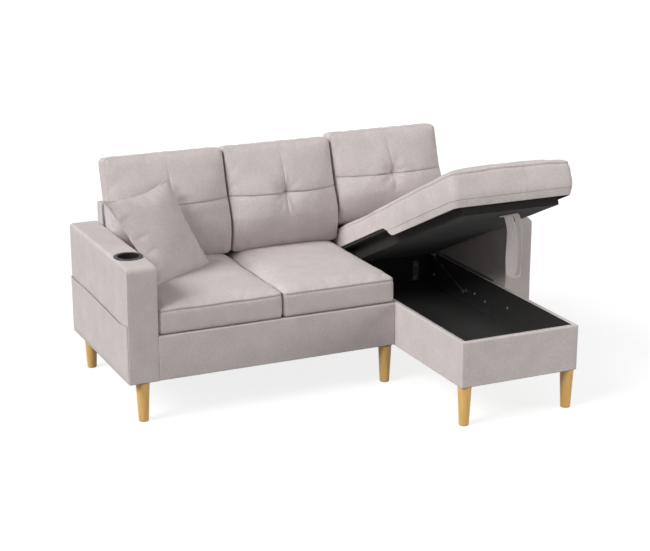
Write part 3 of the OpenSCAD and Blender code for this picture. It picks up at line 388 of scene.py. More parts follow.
def arm_cover(name, node, cup, seed):
    """cup gives the place and the radius of the hole for the cup holder, or is None."""
    lo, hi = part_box(node)
    seam_in, step = 0.0045, 0.022
    top_side_r, top_front_r, top_rear_r = 0.012, 0.026, 0.012
    front_side_r, rear_side_r, foot_r = 0.004, 0.006, 0.003
    if cup:
        square = cup["hole"] + 0.001
        middle, hole_run = (np.linspace(cup[axis] - square, cup[axis] + square, 9) for axis in ("x", "y"))
        run = [*places([lo.y, cup["y"] - square], step)[:-1], *hole_run,
               *places([cup["y"] + square, hi.y], step)[1:]]
    else:
        middle = np.linspace(lo.x + 0.013, hi.x - 0.013, 7)
        run = places([lo.y, hi.y], step)
    beside = (0, 0.002, seam_in, 0.0075)
    across = [*(lo.x + d for d in beside), *middle, *(hi.x - d for d in reversed(beside))]
    bm = cut_block(across, run, places([lo.z, hi.z], 0.024, (0.003, 0.006, 0.010, 0.016, 0.024)))
    if cup:
        centre, turned_in = Vector((cup["x"], cup["y"], hi.z)), 0.012
        top = [f for f in bm.faces if f.normal.z > 0.9
               and max(abs(c) for c in (f.calc_center_median() - centre).xy) < square]
        rim = [e for e in bm.edges if sum(f in top for f in e.link_faces) == 1]
        bmesh.ops.delete(bm, geom=top, context="FACES")
        for v in {v for e in rim for v in e.verts}:
            v.co.xy = centre.xy + (v.co - centre).xy.normalized() * cup["hole"]
        down = bmesh.ops.extrude_edge_only(bm, edges=rim)["geom"]
        bmesh.ops.translate(bm, verts=[g for g in down if isinstance(g, bmesh.types.BMVert)],
                            vec=(0, 0, -turned_in))
    bm.normal_update()
    square_at = points_of(bm)
    points = square_at.copy()
    for x, inward in ((lo.x, 1), (hi.x, -1)):
        round_off(points, 0, 2, (x, hi.z), (inward, -1), top_side_r)
        round_off(points, 0, 1, (x, lo.y), (inward, 1), front_side_r)
        round_off(points, 0, 1, (x, hi.y), (inward, -1), rear_side_r)
    round_off(points, 1, 2, (lo.y, hi.z), (1, -1), top_front_r)
    round_off(points, 1, 2, (hi.y, hi.z), (-1, -1), top_rear_r)
    round_off(points, 1, 2, (lo.y, lo.z), (1, 1), foot_r)
    for x, inward in ((lo.x, 1), (hi.x, -1)):
        round_off(points, 0, 2, (x, lo.z), (inward, 1), foot_r)
    set_points(bm, points)
    sides = np.minimum(square_at[:, 0] - lo.x, hi.x - square_at[:, 0])
    strip = (square_at[:, 1] < lo.y + 0.001) | (square_at[:, 2] > hi.z - 0.001)
    amount = np.where(strip, dip(sides - seam_in, 0.0016, 0.0011), 0.0)
    amount = amount + 0.0007 * unevenness(square_at, 9, seed)
    amount[square_at[:, 2] < lo.z + 0.001] = 0
    if cup:
        flange_r, pressed = 0.056, 0.0004
        amount[np.hypot(points[:, 0] - cup["x"], points[:, 1] - cup["y"]) < flange_r] = -pressed
    swell(bm, amount)
    put(name, bm, fabric, "sofa", [node])


fabric = cover_cloth()
lo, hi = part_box("cup_holder")
arm_cover("left_arm_upholstery", "left_arm_cover",
          {"x": (lo.x + hi.x) / 2, "y": (lo.y + hi.y) / 2, "hole": 0.0462}, 1)
arm_cover("right_arm_upholstery", "right_arm_cover", None, 7)


# Side pocket: one flat panel of fabric on the left arm's outer face, sewn down along the bottom
# and both ends. Its mouth is a turned hem that curls up towards the front.
lo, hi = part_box("side_pocket")
curl_length, curl_rise, rear_rise, sewn_w = 0.084, 0.012, 0.015, 0.022
panel = cut_block([lo.x, lo.x + 0.0025], places([lo.y, hi.y], 0.02),
                  [*np.linspace(0, 0.93, 13).tolist(), 0.965, 0.986, 1])
cloth_at = points_of(panel)
back = cloth_at[:, 1] - lo.y
mouth = hi.z - curl_rise + curl_rise * (1 + np.cos(np.pi * np.clip(back / curl_length, 0, 1))) / 2
mouth += rear_rise * np.sin(np.pi / 2 * np.clip((back - 0.06) / 0.5, 0, 1))
share = cloth_at[:, 2].copy()
cloth_at[:, 2] = lo.z + (mouth - lo.z) * share
ends = np.minimum(back, hi.y - cloth_at[:, 1])
sewn = np.clip(1 - np.minimum(ends / sewn_w, (cloth_at[:, 2] - lo.z) / sewn_w), 0, 1) ** 2
outer = cloth_at[:, 0] < lo.x + 0.001
cloth_at[:, 0] += sewn * np.where(outer, 0.0066, 0.0048)
cloth_at[:, 0] -= outer * 0.0009 * ((share > 0.9) - 0.5 * np.exp(-((share - 0.88) / 0.02) ** 2))
cloth_at[:, 0] += 0.0008 * unevenness(cloth_at, 7, 3) * (1 - sewn)
set_points(panel, cloth_at)
# The panel's top row is painted dark: painted shadow of the gap at the pocket's mouth.
pocket = put("side_pocket_panel", panel, fabric, "sofa", ["side_pocket"],
             stitch_lines_and_painted_shade=0.85 * (share > 0.995))


# Front rail of the seat: fabric over thin wadding on the board, turned under and over it and
# tacked to its back.
lo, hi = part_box("seat_front_cover")
turned_in, edge_r, wadding = 0.006, 0.005, 0.0016
bm = cut_block(places([lo.x, hi.x], 0.03), [lo.y, hi.y - turned_in, hi.y], places([lo.z, hi.z], 0.02))
square_at = points_of(bm)
points = square_at.copy()
for z, inward in ((lo.z, 1), (hi.z, -1)):
    round_off(points, 1, 2, (lo.y, z), (1, inward), edge_r)
set_points(bm, points)
up = (square_at[:, 2] - lo.z) / (hi.z - lo.z)
full = wadding * np.sin(np.pi * up) + 0.0006 * unevenness(square_at, 8, 11)
swell(bm, np.where(square_at[:, 1] < lo.y + 0.001, full, 0))
bmesh.ops.delete(bm, geom=[f for f in bm.faces if f.normal.y > 0.9], context="FACES")
put("seat_rail_upholstery", bm, fabric, "sofa", ["seat_front_cover"])


# Back frames: fabric over wadding on the timber, with a back panel sewn in by a plain seam. Above
# the knee the front face leans back with the cushions.
def back_frame(name, node, seed):
    lo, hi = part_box(node)
    knee, leant, top_r, side_r, seam_in = 0.463, 0.018, 0.012, 0.004, 0.008
    bm = cut_block(places([lo.x, hi.x], 0.028), places([lo.y, hi.y], 0.02), places([lo.z, hi.z], 0.025))
    square_at = points_of(bm)
    points = square_at.copy()
    round_off(points, 1, 2, (hi.y, hi.z), (-1, -1), top_r)
    round_off(points, 1, 2, (lo.y, hi.z), (1, -1), top_r)
    lean = np.clip((points[:, 2] - knee) / (hi.z - top_r - knee), 0, 1) * leant
    points[:, 1] += lean * (hi.y - points[:, 1]) / (hi.y - lo.y)
    for x, inward in ((lo.x, 1), (hi.x, -1)):
        round_off(points, 0, 1, (x, hi.y), (inward, -1), side_r)
    set_points(bm, points)
    rear = square_at[:, 1] > hi.y - 0.001
    edge = np.minimum(np.minimum(square_at[:, 0] - lo.x, hi.x - square_at[:, 0]), hi.z - square_at[:, 2])
    amount = dip(edge - seam_in, 0.003, 0.0014) + 0.0008 * unevenness(square_at, 7, seed) - 0.0008
    swell(bm, np.where(rear, amount, 0))
    put(name, bm, fabric, "sofa", [node])


back_frame("left_back_upholstery", "left_back_cover", 21)
back_frame("right_back_upholstery", "right_back_cover", 22)


# Chaise box: fabric over the panels, brought over the rim and tacked inside, with a folded
# corner seam at each front corner.
lo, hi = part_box("storage_cover")
rim_w, corner_r, rim_r, seam_in = 0.019, 0.006, 0.004, 0.008
bm = cut_block(places([lo.x, hi.x], 0.03), places([lo.y, hi.y], 0.03), places([lo.z, hi.z], 0.02))
square_at = points_of(bm)
points = square_at.copy()
for x, inward in ((lo.x, 1), (hi.x, -1)):
    round_off(points, 0, 1, (x, lo.y), (inward, 1), corner_r)
    round_off(points, 0, 2, (x, hi.z), (inward, -1), rim_r)
round_off(points, 1, 2, (lo.y, hi.z), (1, -1), rim_r)
set_points(bm, points)
sides = np.minimum(square_at[:, 0] - lo.x, hi.x - square_at[:, 0])
front = square_at[:, 1] - lo.y
up = (square_at[:, 2] - lo.z) / (hi.z - lo.z)
wall = (up > 0.01) & (up < 0.99)
fold = np.where(sides < 0.001, dip(front - seam_in, 0.003, 0.0016), 0)
fold = fold + np.where(front < 0.001, dip(sides - seam_in, 0.003, 0.0016), 0)
swell(bm, np.where(wall, fold + 0.0006 * unevenness(square_at, 8, 31), 0))
flat = [f for f in bm.faces if abs(f.normal.z) > 0.9
        and all(min(v.co.z - lo.z, hi.z - v.co.z) < 0.001 for v in f.verts)]
bmesh.ops.delete(bm, geom=flat, context="FACES")
for z, fold_in in ((hi.z, -0.006), (lo.z, 0.004)):
    loop = [e for e in bm.edges if e.is_boundary and all(abs(v.co.z - z) < 0.003 for v in e.verts)]
    for drop in (0.0, fold_in):
        turned = bmesh.ops.extrude_edge_only(bm, edges=loop)["geom"]
        loop = [g for g in turned if isinstance(g, bmesh.types.BMEdge)]
        for v in [g for g in turned if isinstance(g, bmesh.types.BMVert)]:
            v.co.x = min(max(v.co.x, lo.x + rim_w), hi.x - rim_w)
            v.co.y = min(max(v.co.y, lo.y + rim_w), hi.y - rim_w)
            v.co.z = z + drop
bmesh.ops.recalc_face_normals(bm, faces=bm.faces)
put("chaise_box_upholstery", bm, fabric, "sofa", ["storage_cover"], 0)


# Legs: turned and tapered hardwood with a small round at the foot and a broken top edge,
# lacquered clear. Grain runs along the leg.
def leg_wood():
    wood = Finish("leg_wood", Coat_Weight=0.25, Coat_Roughness=0.3)
    fine = wood.noise(wood.spot((240, 240, 9)), 1.0, 4.0)
    broad = wood.noise(wood.spot((45, 45, 5)), 1.0)
    tone = wood.node("MapRange", {}, {"Value": fine * 0.5 + broad * 0.5, "From Min": 0.3, "From Max": 0.7})
    wood.feed("Base Color", wood.between(tone, (0.600, 0.320, 0.085), (0.790, 0.500, 0.160)))
    wood.feed("Roughness", 0.38 + fine * 0.15)
    wood.bumps(fine, 0.0002, 0.4)
    return wood.material


lacquered = leg_wood()
for name in [n for n in nodes if n.startswith("leg_") and n not in ("leg_plates", "leg_bolts")]:
    lo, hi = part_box(name)
    foot, head, foot_round = 0.0195, (hi.x - lo.x) / 2, 0.003
    profile = [(0, 0), (foot - 0.006, 0), (foot - 0.0025, 0.0003), (foot - 0.0008, 0.0012), (foot, foot_round)]
    profile += [(foot + (head - foot) * s, foot_round + (hi.z - 2 * foot_round) * s)
                for s in (0.03, 0.2, 0.4, 0.6, 0.8, 0.97)]
    profile += [(head, hi.z - 0.002), (head - 0.0004, hi.z - 0.0007), (head - 0.0016, hi.z), (0, hi.z)]
    bm = bmesh.new()
    line = [bm.verts.new((r, 0, z)) for r, z in profile]
    edges = [bm.edges.new(pair) for pair in zip(line, line[1:])]
    bmesh.ops.spin(bm, geom=line + edges, cent=(0, 0, 0), axis=(0, 0, 1), angle=2 * math.pi, steps=48,
                   use_merge=True)
    bmesh.ops.remove_doubles(bm, verts=bm.verts, dist=1e-5)
    bmesh.ops.recalc_face_normals(bm, faces=bm.faces)
    bmesh.ops.translate(bm, verts=bm.verts, vec=((lo.x + hi.x) / 2, (lo.y + hi.y) / 2, 0))
    put("turned_" + name, bm, lacquered, "sofa", [name], 0)


# Seat cushions: foam in a cover sewn from a top, a bottom and a border. The top rolls over to a
# sunken seam, the border bulges between its seams and is drawn in between the corners.
def cushion_block(width, length, corner, seams, height, beside=(0.0015, 0.004, 0.009, 0.018)):
    """A closed form, its flat places, its places from -1 to 1 and 0 to 1, the way in from its edge,
    and the way out of its border."""
    step = 0.012
    bm = cut_block(places([s * width / 2 for s in seams[0]], step, beside),
                   places([s * length / 2 for s in seams[1]], step, beside), places([0, height], step, beside))
    flat = points_of(bm)
    uvt = flat / np.array([width / 2, length / 2, height])
    edge = np.minimum(width / 2 - np.abs(flat[:, 0]), length / 2 - np.abs(flat[:, 1]))
    for sx in (-1, 1):
        for sy in (-1, 1):
            round_off(flat, 0, 1, (sx * width / 2, sy * length / 2), (-sx, -sy), corner)
    out = np.maximum(0, np.abs(flat[:, :2]) - [width / 2 - corner, length / 2 - corner]) * np.sign(flat[:, :2])
    out /= np.linalg.norm(out, axis=1)[:, None] + 1e-9
    return bm, flat, uvt, edge, out * (np.abs(uvt[:, :2]).max(1) > 0.9999)[:, None]


def dome(u, v, power=3.0):
    return (1 - np.abs(u) ** power) * (1 - np.abs(v) ** power)


def roll(edge, reach):
    """Quarter round of the cover from the seam inwards, from 0 to 1."""
    return np.sqrt(np.clip(1 - (1 - np.clip(edge / reach, 0, 1)) ** 2, 0, 1))


def puckers(points, seed, pitch=0.014):
    return 0.5 + 0.8 * unevenness(points, 1 / pitch, seed)


def painted_seam_shade(away, edge):
    """How dark the seam's line is painted at a height away from it, from 0 to 1: the stitches' own line and
    painted shade in the seam's groove.
    """
    return np.exp(-away / 0.0018) * np.exp(-edge / 0.0012)


def seam_sink(away):
    """How far a border sinks towards its seam, from 0 to 1."""
    return np.exp(-away / 0.004)


def filled(bm, start, held, most, spare=0.025):
    """How far the filling blows out each point of a cover that is held along its seams."""
    pressure, moments = 4.0, 20
    set_points(bm, start)
    mesh = bpy.data.meshes.new("blown_cover")
    bm.to_mesh(mesh)
    cover = bpy.data.objects.new("blown_cover", mesh)
    bpy.context.scene.collection.objects.link(cover)
    group = cover.vertex_groups.new(name="held")
    group.add(np.flatnonzero(held).tolist(), 1.0, "REPLACE")
    blown = cover.modifiers.new("blown", "CLOTH")
    blown.settings.vertex_group_mass = "held"
    blown.settings.use_pressure = True
    blown.settings.uniform_pressure_force = pressure
    blown.settings.shrink_min = -spare
    blown.settings.effector_weights.gravity = 0.0
    blown.point_cache.frame_start, blown.point_cache.frame_end = 1, moments
    for moment in range(1, moments + 1):
        bpy.context.scene.frame_set(moment)
    shown = cover.evaluated_get(bpy.context.evaluated_depsgraph_get()).data
    move = read_all(shown.vertices, "co", 3) - start
    bpy.data.objects.remove(cover)
    bpy.data.meshes.remove(mesh)
    bpy.context.scene.frame_set(1)
    length = np.linalg.norm(move, axis=1)[:, None] + 1e-9
    return move * most * np.tanh(length / most) / length


def box_cushion(lo, hi, crown, corner, draw, seed, rise, reach, power=3.0, low_seam=1.0, sewn=(), front=None,
                beside=(0.0015, 0.004, 0.009, 0.018)):
    """A flat-laid cushion between two corners of a box whose top is its border's upper seam. crown is the
    middle's height above that seam, rise and reach are those of its rolled edge, and draw is how far the
    border is drawn in. sewn gives the upright seams of the front border, and front how the seam and the
    crown rise towards the front."""
    tall = hi[2] - lo[2]
    bm, flat, uvt, edge, out = cushion_block(hi[0] - lo[0], hi[1] - lo[1], corner, ((-1, *sewn, 1), (-1, 1)),
                                             tall, beside)
    u, v, t = uvt.T
    top, under = t > 0.999, t < 0.001
    laid = flat + [(lo[0] + hi[0]) / 2, (lo[1] + hi[1]) / 2, lo[2]]
    seam_rise, crown_rise = front(u, v) if front else (0, 0)
    domed = rise * roll(edge, reach) + (crown - rise) * dome(u, v, power) + crown_rise
    laid[:, 2] += seam_rise * t + top * domed
    move = filled(bm, laid, under | (edge < 0.002) & top, 0.007)
    laid += move * [0.35, 0.35, 1.0]
    soft = 0.0018 * unevenness(laid, 7, seed) + 0.0008 * unevenness(laid, 24, seed + 2)
    gathers = 0.0016 * np.exp(-edge / 0.014) * unevenness(laid, 50, seed + 3)
    laid[:, 2] += top * (soft * roll(edge, 0.06) - gathers)
    sway = np.sin(laid[:, 0] * 31 + seed) * np.sin(laid[:, 1] * 27 + seed)
    laid[:, 2] += (edge < 0.03) * (t > 0.3) * 0.0012 * sway
    from_top, from_foot = (1 - t) * tall, t * tall
    sink = seam_sink(from_top) + low_seam * seam_sink(from_foot)
    pull = sink * (0.0026 + 0.0030 * puckers(flat, seed))
    pull = pull - 0.0010 * unevenness(laid, 18, seed + 4) * np.sin(np.pi * t)
    # Painted shade along the border's seams, with the stitches' own line.
    stitch_lines_and_painted_shade = painted_seam_shade(from_top, edge) + low_seam * painted_seam_shade(from_foot, edge)
    # The upright seams of the front border get a fainter painted seam shade.
    for place in sewn:
        line = np.exp(-((u - place) * (hi[0] - lo[0]) / 2 / 0.0025) ** 2) * (v < -0.999)
        pull = pull + 0.0016 * line
        stitch_lines_and_painted_shade = stitch_lines_and_painted_shade + 0.25 * line
    along = np.where(np.abs(u) > 0.999, np.abs(v), np.abs(u))
    pull = pull + draw * (1 - along ** 4) * (0.5 - 0.5 * np.sin(np.pi * t))
    laid[:, :2] = np.clip(laid[:, :2] - out * pull[:, None], lo[:2], hi[:2])
    set_points(bm, laid)
    return bm, stitch_lines_and_painted_shade * 0.32


seam_below_crown = 0.036
for name, node, seed in (("seat_cushion_left", "left_seat_cushion", 41),
                         ("seat_cushion_right", "right_seat_cushion", 43)):
    lo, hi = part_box(node)
    bm, stitch_lines_and_painted_shade = box_cushion(tuple(lo), (hi.x, hi.y, hi.z - seam_below_crown), crown=0.043, corner=0.020,
                               draw=0.003, seed=seed, rise=0.022, reach=0.038)
    put(name, bm, fabric, node, [node], stitch_lines_and_painted_shade=stitch_lines_and_painted_shade)


# Chaise lid: the long box cushion, glued to the board, with a padded skirt below it that ends
# in an S-curve on each side. The border's lower seam is sewn to the skirt, and the frame below
# is lined.
hinge = Vector(next(j for j in frame["joints"] if j["name"] == "lid_hinge")["pos_m"])
lid_open = math.radians(24.5)
lid_turn = (Matrix.Translation((0, hinge.y, hinge.z)) @ Matrix.Rotation(-lid_open, 4, "X")
            @ Matrix.Translation((0, -hinge.y, -hinge.z)))
lid_x0, lid_x1, lid_y0, lid_y1 = 0.250, 0.758, -0.645, 0.500
lid_half, lid_middle = (lid_x1 - lid_x0) / 2, (lid_x0 + lid_x1) / 2
cushion_foot, cushion_seam, corner_r = hinge.z + 0.0003, hinge.z + 0.066, 0.024
skirt_h, skirt_end, skirt_seam, skirt_wall, skirt_lap = 0.044, -0.010, 0.017, 0.0035, 0.0004


def lid_front(u, v):
    """Rise of the lid's upper seam and of its crown: both higher ahead, the seam also bowed."""
    ahead = np.clip((0.45 - v) / 1.45, 0, 1)
    bow = 0.008 * (1 - u ** 2) * np.clip(-v * 2 - 1, 0, 1) ** 2
    plump = 0.012 * (1 - u ** 4) * np.where(v < 0.35, 1 - np.abs((v + 1) / 0.675 - 1) ** 4, 0)
    return 0.008 * ahead ** 0.8 + bow, plump


def plump_sides(bm):
    """The lid's padded sides stand out in front of the arms, down to nothing at the skirt's edge."""
    most, arm_front, blend, shoulder = 0.017, -0.10, 0.16, 0.05
    at = points_of(bm)
    ahead = np.clip((arm_front - at[:, 1]) / blend, 0, 1)
    up = np.clip((at[:, 2] - hinge.z + skirt_h) / 0.060, 0, 1)
    full = most * ahead ** 2 * (3 - 2 * ahead) * np.sin(np.pi / 2 * up)
    at[:, 1] -= full * np.clip((lid_y0 + shoulder - at[:, 1]) / shoulder, 0, 1)
    beside = np.clip((np.abs(at[:, 0] - lid_middle) - lid_half + shoulder) / shoulder, 0, 1)
    at[:, 0] += full * np.where(at[:, 0] < lid_middle, -0.6, 1) * beside
    set_points(bm, at)


def skirt_depth(y):
    """How far the lid's padded side reaches below the hinge: all of it in front, none behind the arms."""
    fade = 0.093
    return skirt_h * (1 + np.cos(np.pi * np.clip((y - skirt_end + fade) / fade, 0, 1))) / 2


bm, stitch_lines_and_painted_shade = box_cushion((lid_x0, lid_y0, cushion_foot), (lid_x1, lid_y1, cushion_seam), crown=0.024,
                           corner=corner_r, draw=0.001, seed=47, rise=0.019, reach=0.026, power=7.0,
                           low_seam=0.0, sewn=(0.11, 0.23), front=lid_front,
                           beside=(0.0015, 0.0036, 0.0046, 0.011, 0.02))
sewn_at = points_of(bm)
lip_w = 0.0043
side = np.minimum(np.minimum(sewn_at[:, 0] - lid_x0, lid_x1 - sewn_at[:, 0]), sewn_at[:, 1] - lid_y0)
low = np.clip(1 - (sewn_at[:, 2] - cushion_foot) / 0.05, 0, 1)
from_corner = np.hypot(np.abs(sewn_at[:, 0] - lid_middle) - lid_half + corner_r,
                       sewn_at[:, 1] - lid_y0 - corner_r)
at_corner = (side < corner_r) & (sewn_at[:, 1] < lid_y0 + corner_r)
lip = (side < lip_w) | (from_corner > corner_r - lip_w) & at_corner
sewn_at[:, 2] -= lip * low * np.minimum(skirt_seam, skirt_depth(sewn_at[:, 1]))
set_points(bm, sewn_at)
plump_sides(bm)
bmesh.ops.transform(bm, matrix=lid_turn, verts=bm.verts)
put("chaise_lid_cushion", bm, fabric, "lid", ["chaise_cushion"],
              stitch_lines_and_painted_shade=stitch_lines_and_painted_shade)

skirt_tip = skirt_end - 0.0405
corner_y = lid_y0 + corner_r
corner_steps = [math.radians(a) for a in range(0, 91, 10)]
plan = [(lid_x0, y) for y in np.linspace(skirt_tip, corner_y, 36)[:-1]]
plan += [(lid_x0 + corner_r - corner_r * math.cos(a), corner_y - corner_r * math.sin(a)) for a in corner_steps]
plan += [(x, lid_y0) for x in np.linspace(lid_x0 + corner_r, lid_x1 - corner_r, 24)[1:-1]]
plan += [(lid_x1 - corner_r + corner_r * math.sin(a), corner_y - corner_r * math.cos(a)) for a in corner_steps]
plan += [(lid_x1, y) for y in np.linspace(corner_y, skirt_tip, 36)[1:]]
plan = np.array(plan)
steps = np.gradient(plan, axis=0)
inward = np.stack([-steps[:, 1], steps[:, 0]], 1) / np.linalg.norm(steps, axis=1)[:, None]
bm, hung = grid(range(len(plan)), [0, 0.05, 0.12, 0.25, 0.45, 0.65, 0.82, 0.94, 1])
for v, at, share in hung:
    tall = float(skirt_depth(plan[at][1])) - skirt_seam + skirt_lap
    from_foot = min(share * tall / 0.004, 1)
    tuck = 0.0004 + 0.004 * (1 - math.sqrt(1 - (1 - from_foot) ** 2))
    tuck -= 0.0005 * noise.noise(Vector((plan[at][0] * 20, plan[at][1] * 20, share)))
    x, y = plan[at] + inward[at] * tuck
    v.co = (x, y, hinge.z - skirt_seam + skirt_lap - tall * (1 - share))
bmesh.ops.solidify(bm, geom=bm.faces[:], thickness=skirt_wall)
for v in bm.verts:
    v.co.z = max(v.co.z, hinge.z - skirt_h + 0.0004)
plump_sides(bm)
bmesh.ops.transform(bm, matrix=lid_turn, verts=bm.verts)
bmesh.ops.recalc_face_normals(bm, faces=bm.faces)
put("chaise_lid_skirt", bm, fabric, "lid", ["lid_skirt"])

frame_depth = 0.070
lo, hi = Vector((0.295, -0.610, hinge.z - frame_depth)), Vector((0.713, 0.470, hinge.z - frame_depth))
wide, long = hi.x - lo.x, hi.y - lo.y
bm = flat_cloth(places([lo.x, hi.x], 0.05), places([lo.y, hi.y], 0.05), lo.z)
lining_sheet("lid_lining_cloth", bm, "lid", "lid_lining",
             lid_turn)


# Back cushions: fibre in a box cover with a gusset. A sewn channel crosses the front, another
# runs up from its middle, and they meet in a tuft pulled through to the back. The right one is
# pushed up and squashed by the open lid.
back_lean, seam_lean = 0.27, 0.30
frame_edge_z, frame_top_y, frame_r = 0.688, 0.578, 0.012


def back_cushion(name, node, bottom, height, push, foot_rise, seed):
    lo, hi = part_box(node)
    gusset, crown, rear_crown, rise, tuft_at = 0.090, 0.069, 0.012, 0.013, 0.10
    rear_foot = (frame_top_y + frame_r - (frame_r + 0.0003) / math.cos(math.atan(back_lean)) - rear_crown
                 - back_lean * (frame_edge_z - bottom))
    bm, flat, uvt, edge, out = cushion_block(hi.x - lo.x, height, 0.022, ((-1, 0, 1), (-1, tuft_at, 1)), gusset)
    u, v, t = uvt.T
    x, s = flat[:, 0], flat[:, 1]
    front_face, rear_face = t > 0.999, t < 0.001
    tuft_s = tuft_at * height / 2
    from_tuft = np.hypot(x, s - tuft_s)
    level = np.abs(s - tuft_s)
    above = s > tuft_s

    def stood(x, up, out_front, out_rear):
        """Stands the flat cushion up against the frame, its bottom turned under and its belly out."""
        up = up * (1 - 0.032 * (1 - t))
        turned_under = 0.045 * np.clip((-0.3 - v) / 0.7, 0, 1) ** 1.3
        belly = 0.012 * np.sin(np.pi * np.clip((0.2 - v) / 1.2, 0, 1))
        rear = rear_foot + back_lean * up + out_rear * rear_face
        front = rear_foot - gusset + seam_lean * up + (turned_under - belly) - out_front * front_face
        y = rear + (front - rear) * t
        z = bottom + up + push[1] + foot_rise * np.maximum(0, rear_foot - y) * (1 - up / height) ** 2
        return np.stack([(lo.x + hi.x) / 2 + x, y + push[0], z], 1)

    across = np.where(v > tuft_at, (v - tuft_at) / (1 - tuft_at), (tuft_at - v) / (1 + tuft_at))
    full = (1 - np.abs(u) ** 3) * (1 - across ** np.where(v > tuft_at, 1.4, 1.05))
    fade = np.where(above, np.exp(-np.maximum(0, s - tuft_s) / 0.11), 0.35 * np.exp(-from_tuft / 0.04))
    valley = 0.0035 * np.exp(-(level / 0.020) ** 2) + fade * 0.0035 * np.exp(-(x / 0.022) ** 2)
    valley += 0.017 * np.exp(-(from_tuft / 0.045) ** 2)
    face = rise * roll(edge, 0.028) + (crown - rise) * full
    up = s + height / 2
    start = stood(x, up, face - valley * roll(edge, 0.02), rear_crown * dome(u, v))
    seams = (front_face | rear_face) & (edge < 0.002)
    channels = (level < 0.002) | above & (np.abs(x) < 0.002) & (level < 0.10)
    move = filled(bm, start, seams | rear_face | front_face & channels, 0.003)

    from_front, from_rear = (1 - t) * gusset, t * gusset
    # Painted shade along the gusset seams, in the sewn channels and in the tuft's hollow, with the stitches'
    # own line.
    stitch_lines_and_painted_shade = painted_seam_shade(from_front, edge) + painted_seam_shade(from_rear, edge)
    stitch_lines_and_painted_shade += front_face * (0.7 * np.exp(-level / 0.0016) + 0.45 * fade * np.exp(-np.abs(x) / 0.0016)
                              + 0.5 * np.exp(-from_tuft / 0.008))
    from_line = np.abs(s - tuft_s + 0.0008 * np.sin(x * 60 + seed))
    line = 0.0042 * np.exp(-from_line / 0.0035) * (0.75 + 0.5 * puckers(flat, seed + 9))
    line += fade * 0.0030 * np.exp(-np.abs(x + 0.0008 * np.sin(s * 60 + seed)) / 0.0035)
    line += 0.006 * np.exp(-(from_tuft / 0.012) ** 2)
    angle = np.arctan2(s - tuft_s, x)
    star = np.sin(angle * 9 + 2.2 * np.sin(angle * 2 + seed))
    creases = 0.0030 * star * np.exp(-(from_tuft - 0.042) ** 2 / 0.0010)
    plane = np.stack([x + seed, s, s * 0], 1)
    soft = 0.0040 * unevenness(plane, 7, seed) + 0.0014 * unevenness(plane, 22, seed)
    soft -= 0.0010 * np.exp(-edge / 0.014) * unevenness(plane, 50, seed + 1)
    along = np.where(np.abs(u) > 0.999, np.abs(v), np.abs(u))
    pull = (seam_sink(from_front) + seam_sink(from_rear)) * (0.0036 + 0.0016 * puckers(flat, seed))
    pull = pull + 0.004 * (1 - along ** 4) * (0.65 - 0.65 * np.sin(np.pi * t))
    face += (creases + soft) * roll(edge, 0.08) - (valley + line) * roll(edge, 0.012)
    tight_x = x - out[:, 0] * pull
    tight_up = up - np.maximum(0, out[:, 1]) * pull
    cloth_at = stood(tight_x, tight_up, face, rear_crown * dome(u, v)) + move
    cloth_at[:, 0] = np.clip(cloth_at[:, 0], lo.x, hi.x)
    cloth_at[:, 2] = np.maximum(cloth_at[:, 2], start[:, 2].min())
    set_points(bm, cloth_at)
    bmesh.ops.recalc_face_normals(bm, faces=bm.faces)
    put(name, bm, fabric, node, [node], stitch_lines_and_painted_shade=stitch_lines_and_painted_shade)


tilt, push_up = math.atan(back_lean), 0.0363
on_seat, on_lid = 0.4643, 0.4743
back_cushion("back_cushion_left", "left_back_cushion", on_seat, 0.432, (0, 0), 0, 51)
back_cushion("back_cushion_middle", "middle_back_cushion", on_seat, 0.432, (0, 0), 0, 54)
back_cushion("back_cushion_right", "right_back_cushion", on_lid, 0.400,
             (push_up * math.sin(tilt), push_up * math.cos(tilt)), 0.32, 57)


# Throw pillow: two squares of the cover fabric with knife edges, filled with fibre. It leans in
# the corner, resting on the seat cushion's crown.
pillow_corners = [Vector((x / 1000 - 0.871, y / 1000 - 0.090, z / 1000)) for x, y, z in
                  ((20, 325, 801.4), (357, 532, 813.4), (487, 397, 468.9), (194, 208, 467.7))]
top_left, top_right, low_right, low_left = (np.array(c) for c in pillow_corners)
draw, half_seam, half_thick = 0.11, 0.0018, 0.060
cuts = places([-1, 1], 0.05, (0.012, 0.035, 0.07))
bm = cut_block(cuts, cuts, [-1, 0, 1])
u, v, side = points_of(bm).T
pu = u * (1 - draw * (1 - v * v))
pv = np.where(v < 0, v, v * (1 - 1.3 * draw * (1 - u * u)))
low = low_left + (low_right - low_left) * ((1 + pu) / 2)[:, None]
high = top_left + (top_right - top_left) * ((1 + pu) / 2)[:, None]
facing = np.cross(low_right - low_left, top_left - low_left)
facing /= np.linalg.norm(facing)
puff = np.maximum(0, 1 - u * u) ** 0.7 * np.maximum(0, 1 - v * v) ** 0.7
pillow_at = low + (high - low) * ((1 + pv) / 2)[:, None]
pillow_at = pillow_at + facing * (side * (half_seam + half_thick * puff))[:, None]
from_edge = 1 - np.maximum(np.abs(u), np.abs(v))
move = filled(bm, pillow_at, (from_edge < 0.005) | (side < -0.5) & (v < 0), 0.006, 0.02)
seam_wave = 0.0025 * unevenness(np.stack([u, v, side * 0], 1), 3, 61) * np.exp(-from_edge / 0.08)
wrinkle = 0.0022 * unevenness(np.stack([u + 3, v, side], 1), 2.2, 63)
wrinkle = wrinkle + 0.0010 * unevenness(np.stack([u, v, side], 1), 9, 64) * np.exp(-from_edge / 0.15)
sewn_edge = 0.0012 * np.exp(-((from_edge - 0.03) / 0.012) ** 2)
lift = seam_wave + side * (wrinkle * np.clip(from_edge / 0.02, 0, 1) - sewn_edge)
pillow_at += move + facing * lift[:, None]
set_points(bm, pillow_at)
bmesh.ops.recalc_face_normals(bm, faces=bm.faces)
put("throw_pillow_cover", bm, fabric, "throw_pillow", ["throw_pillow"])


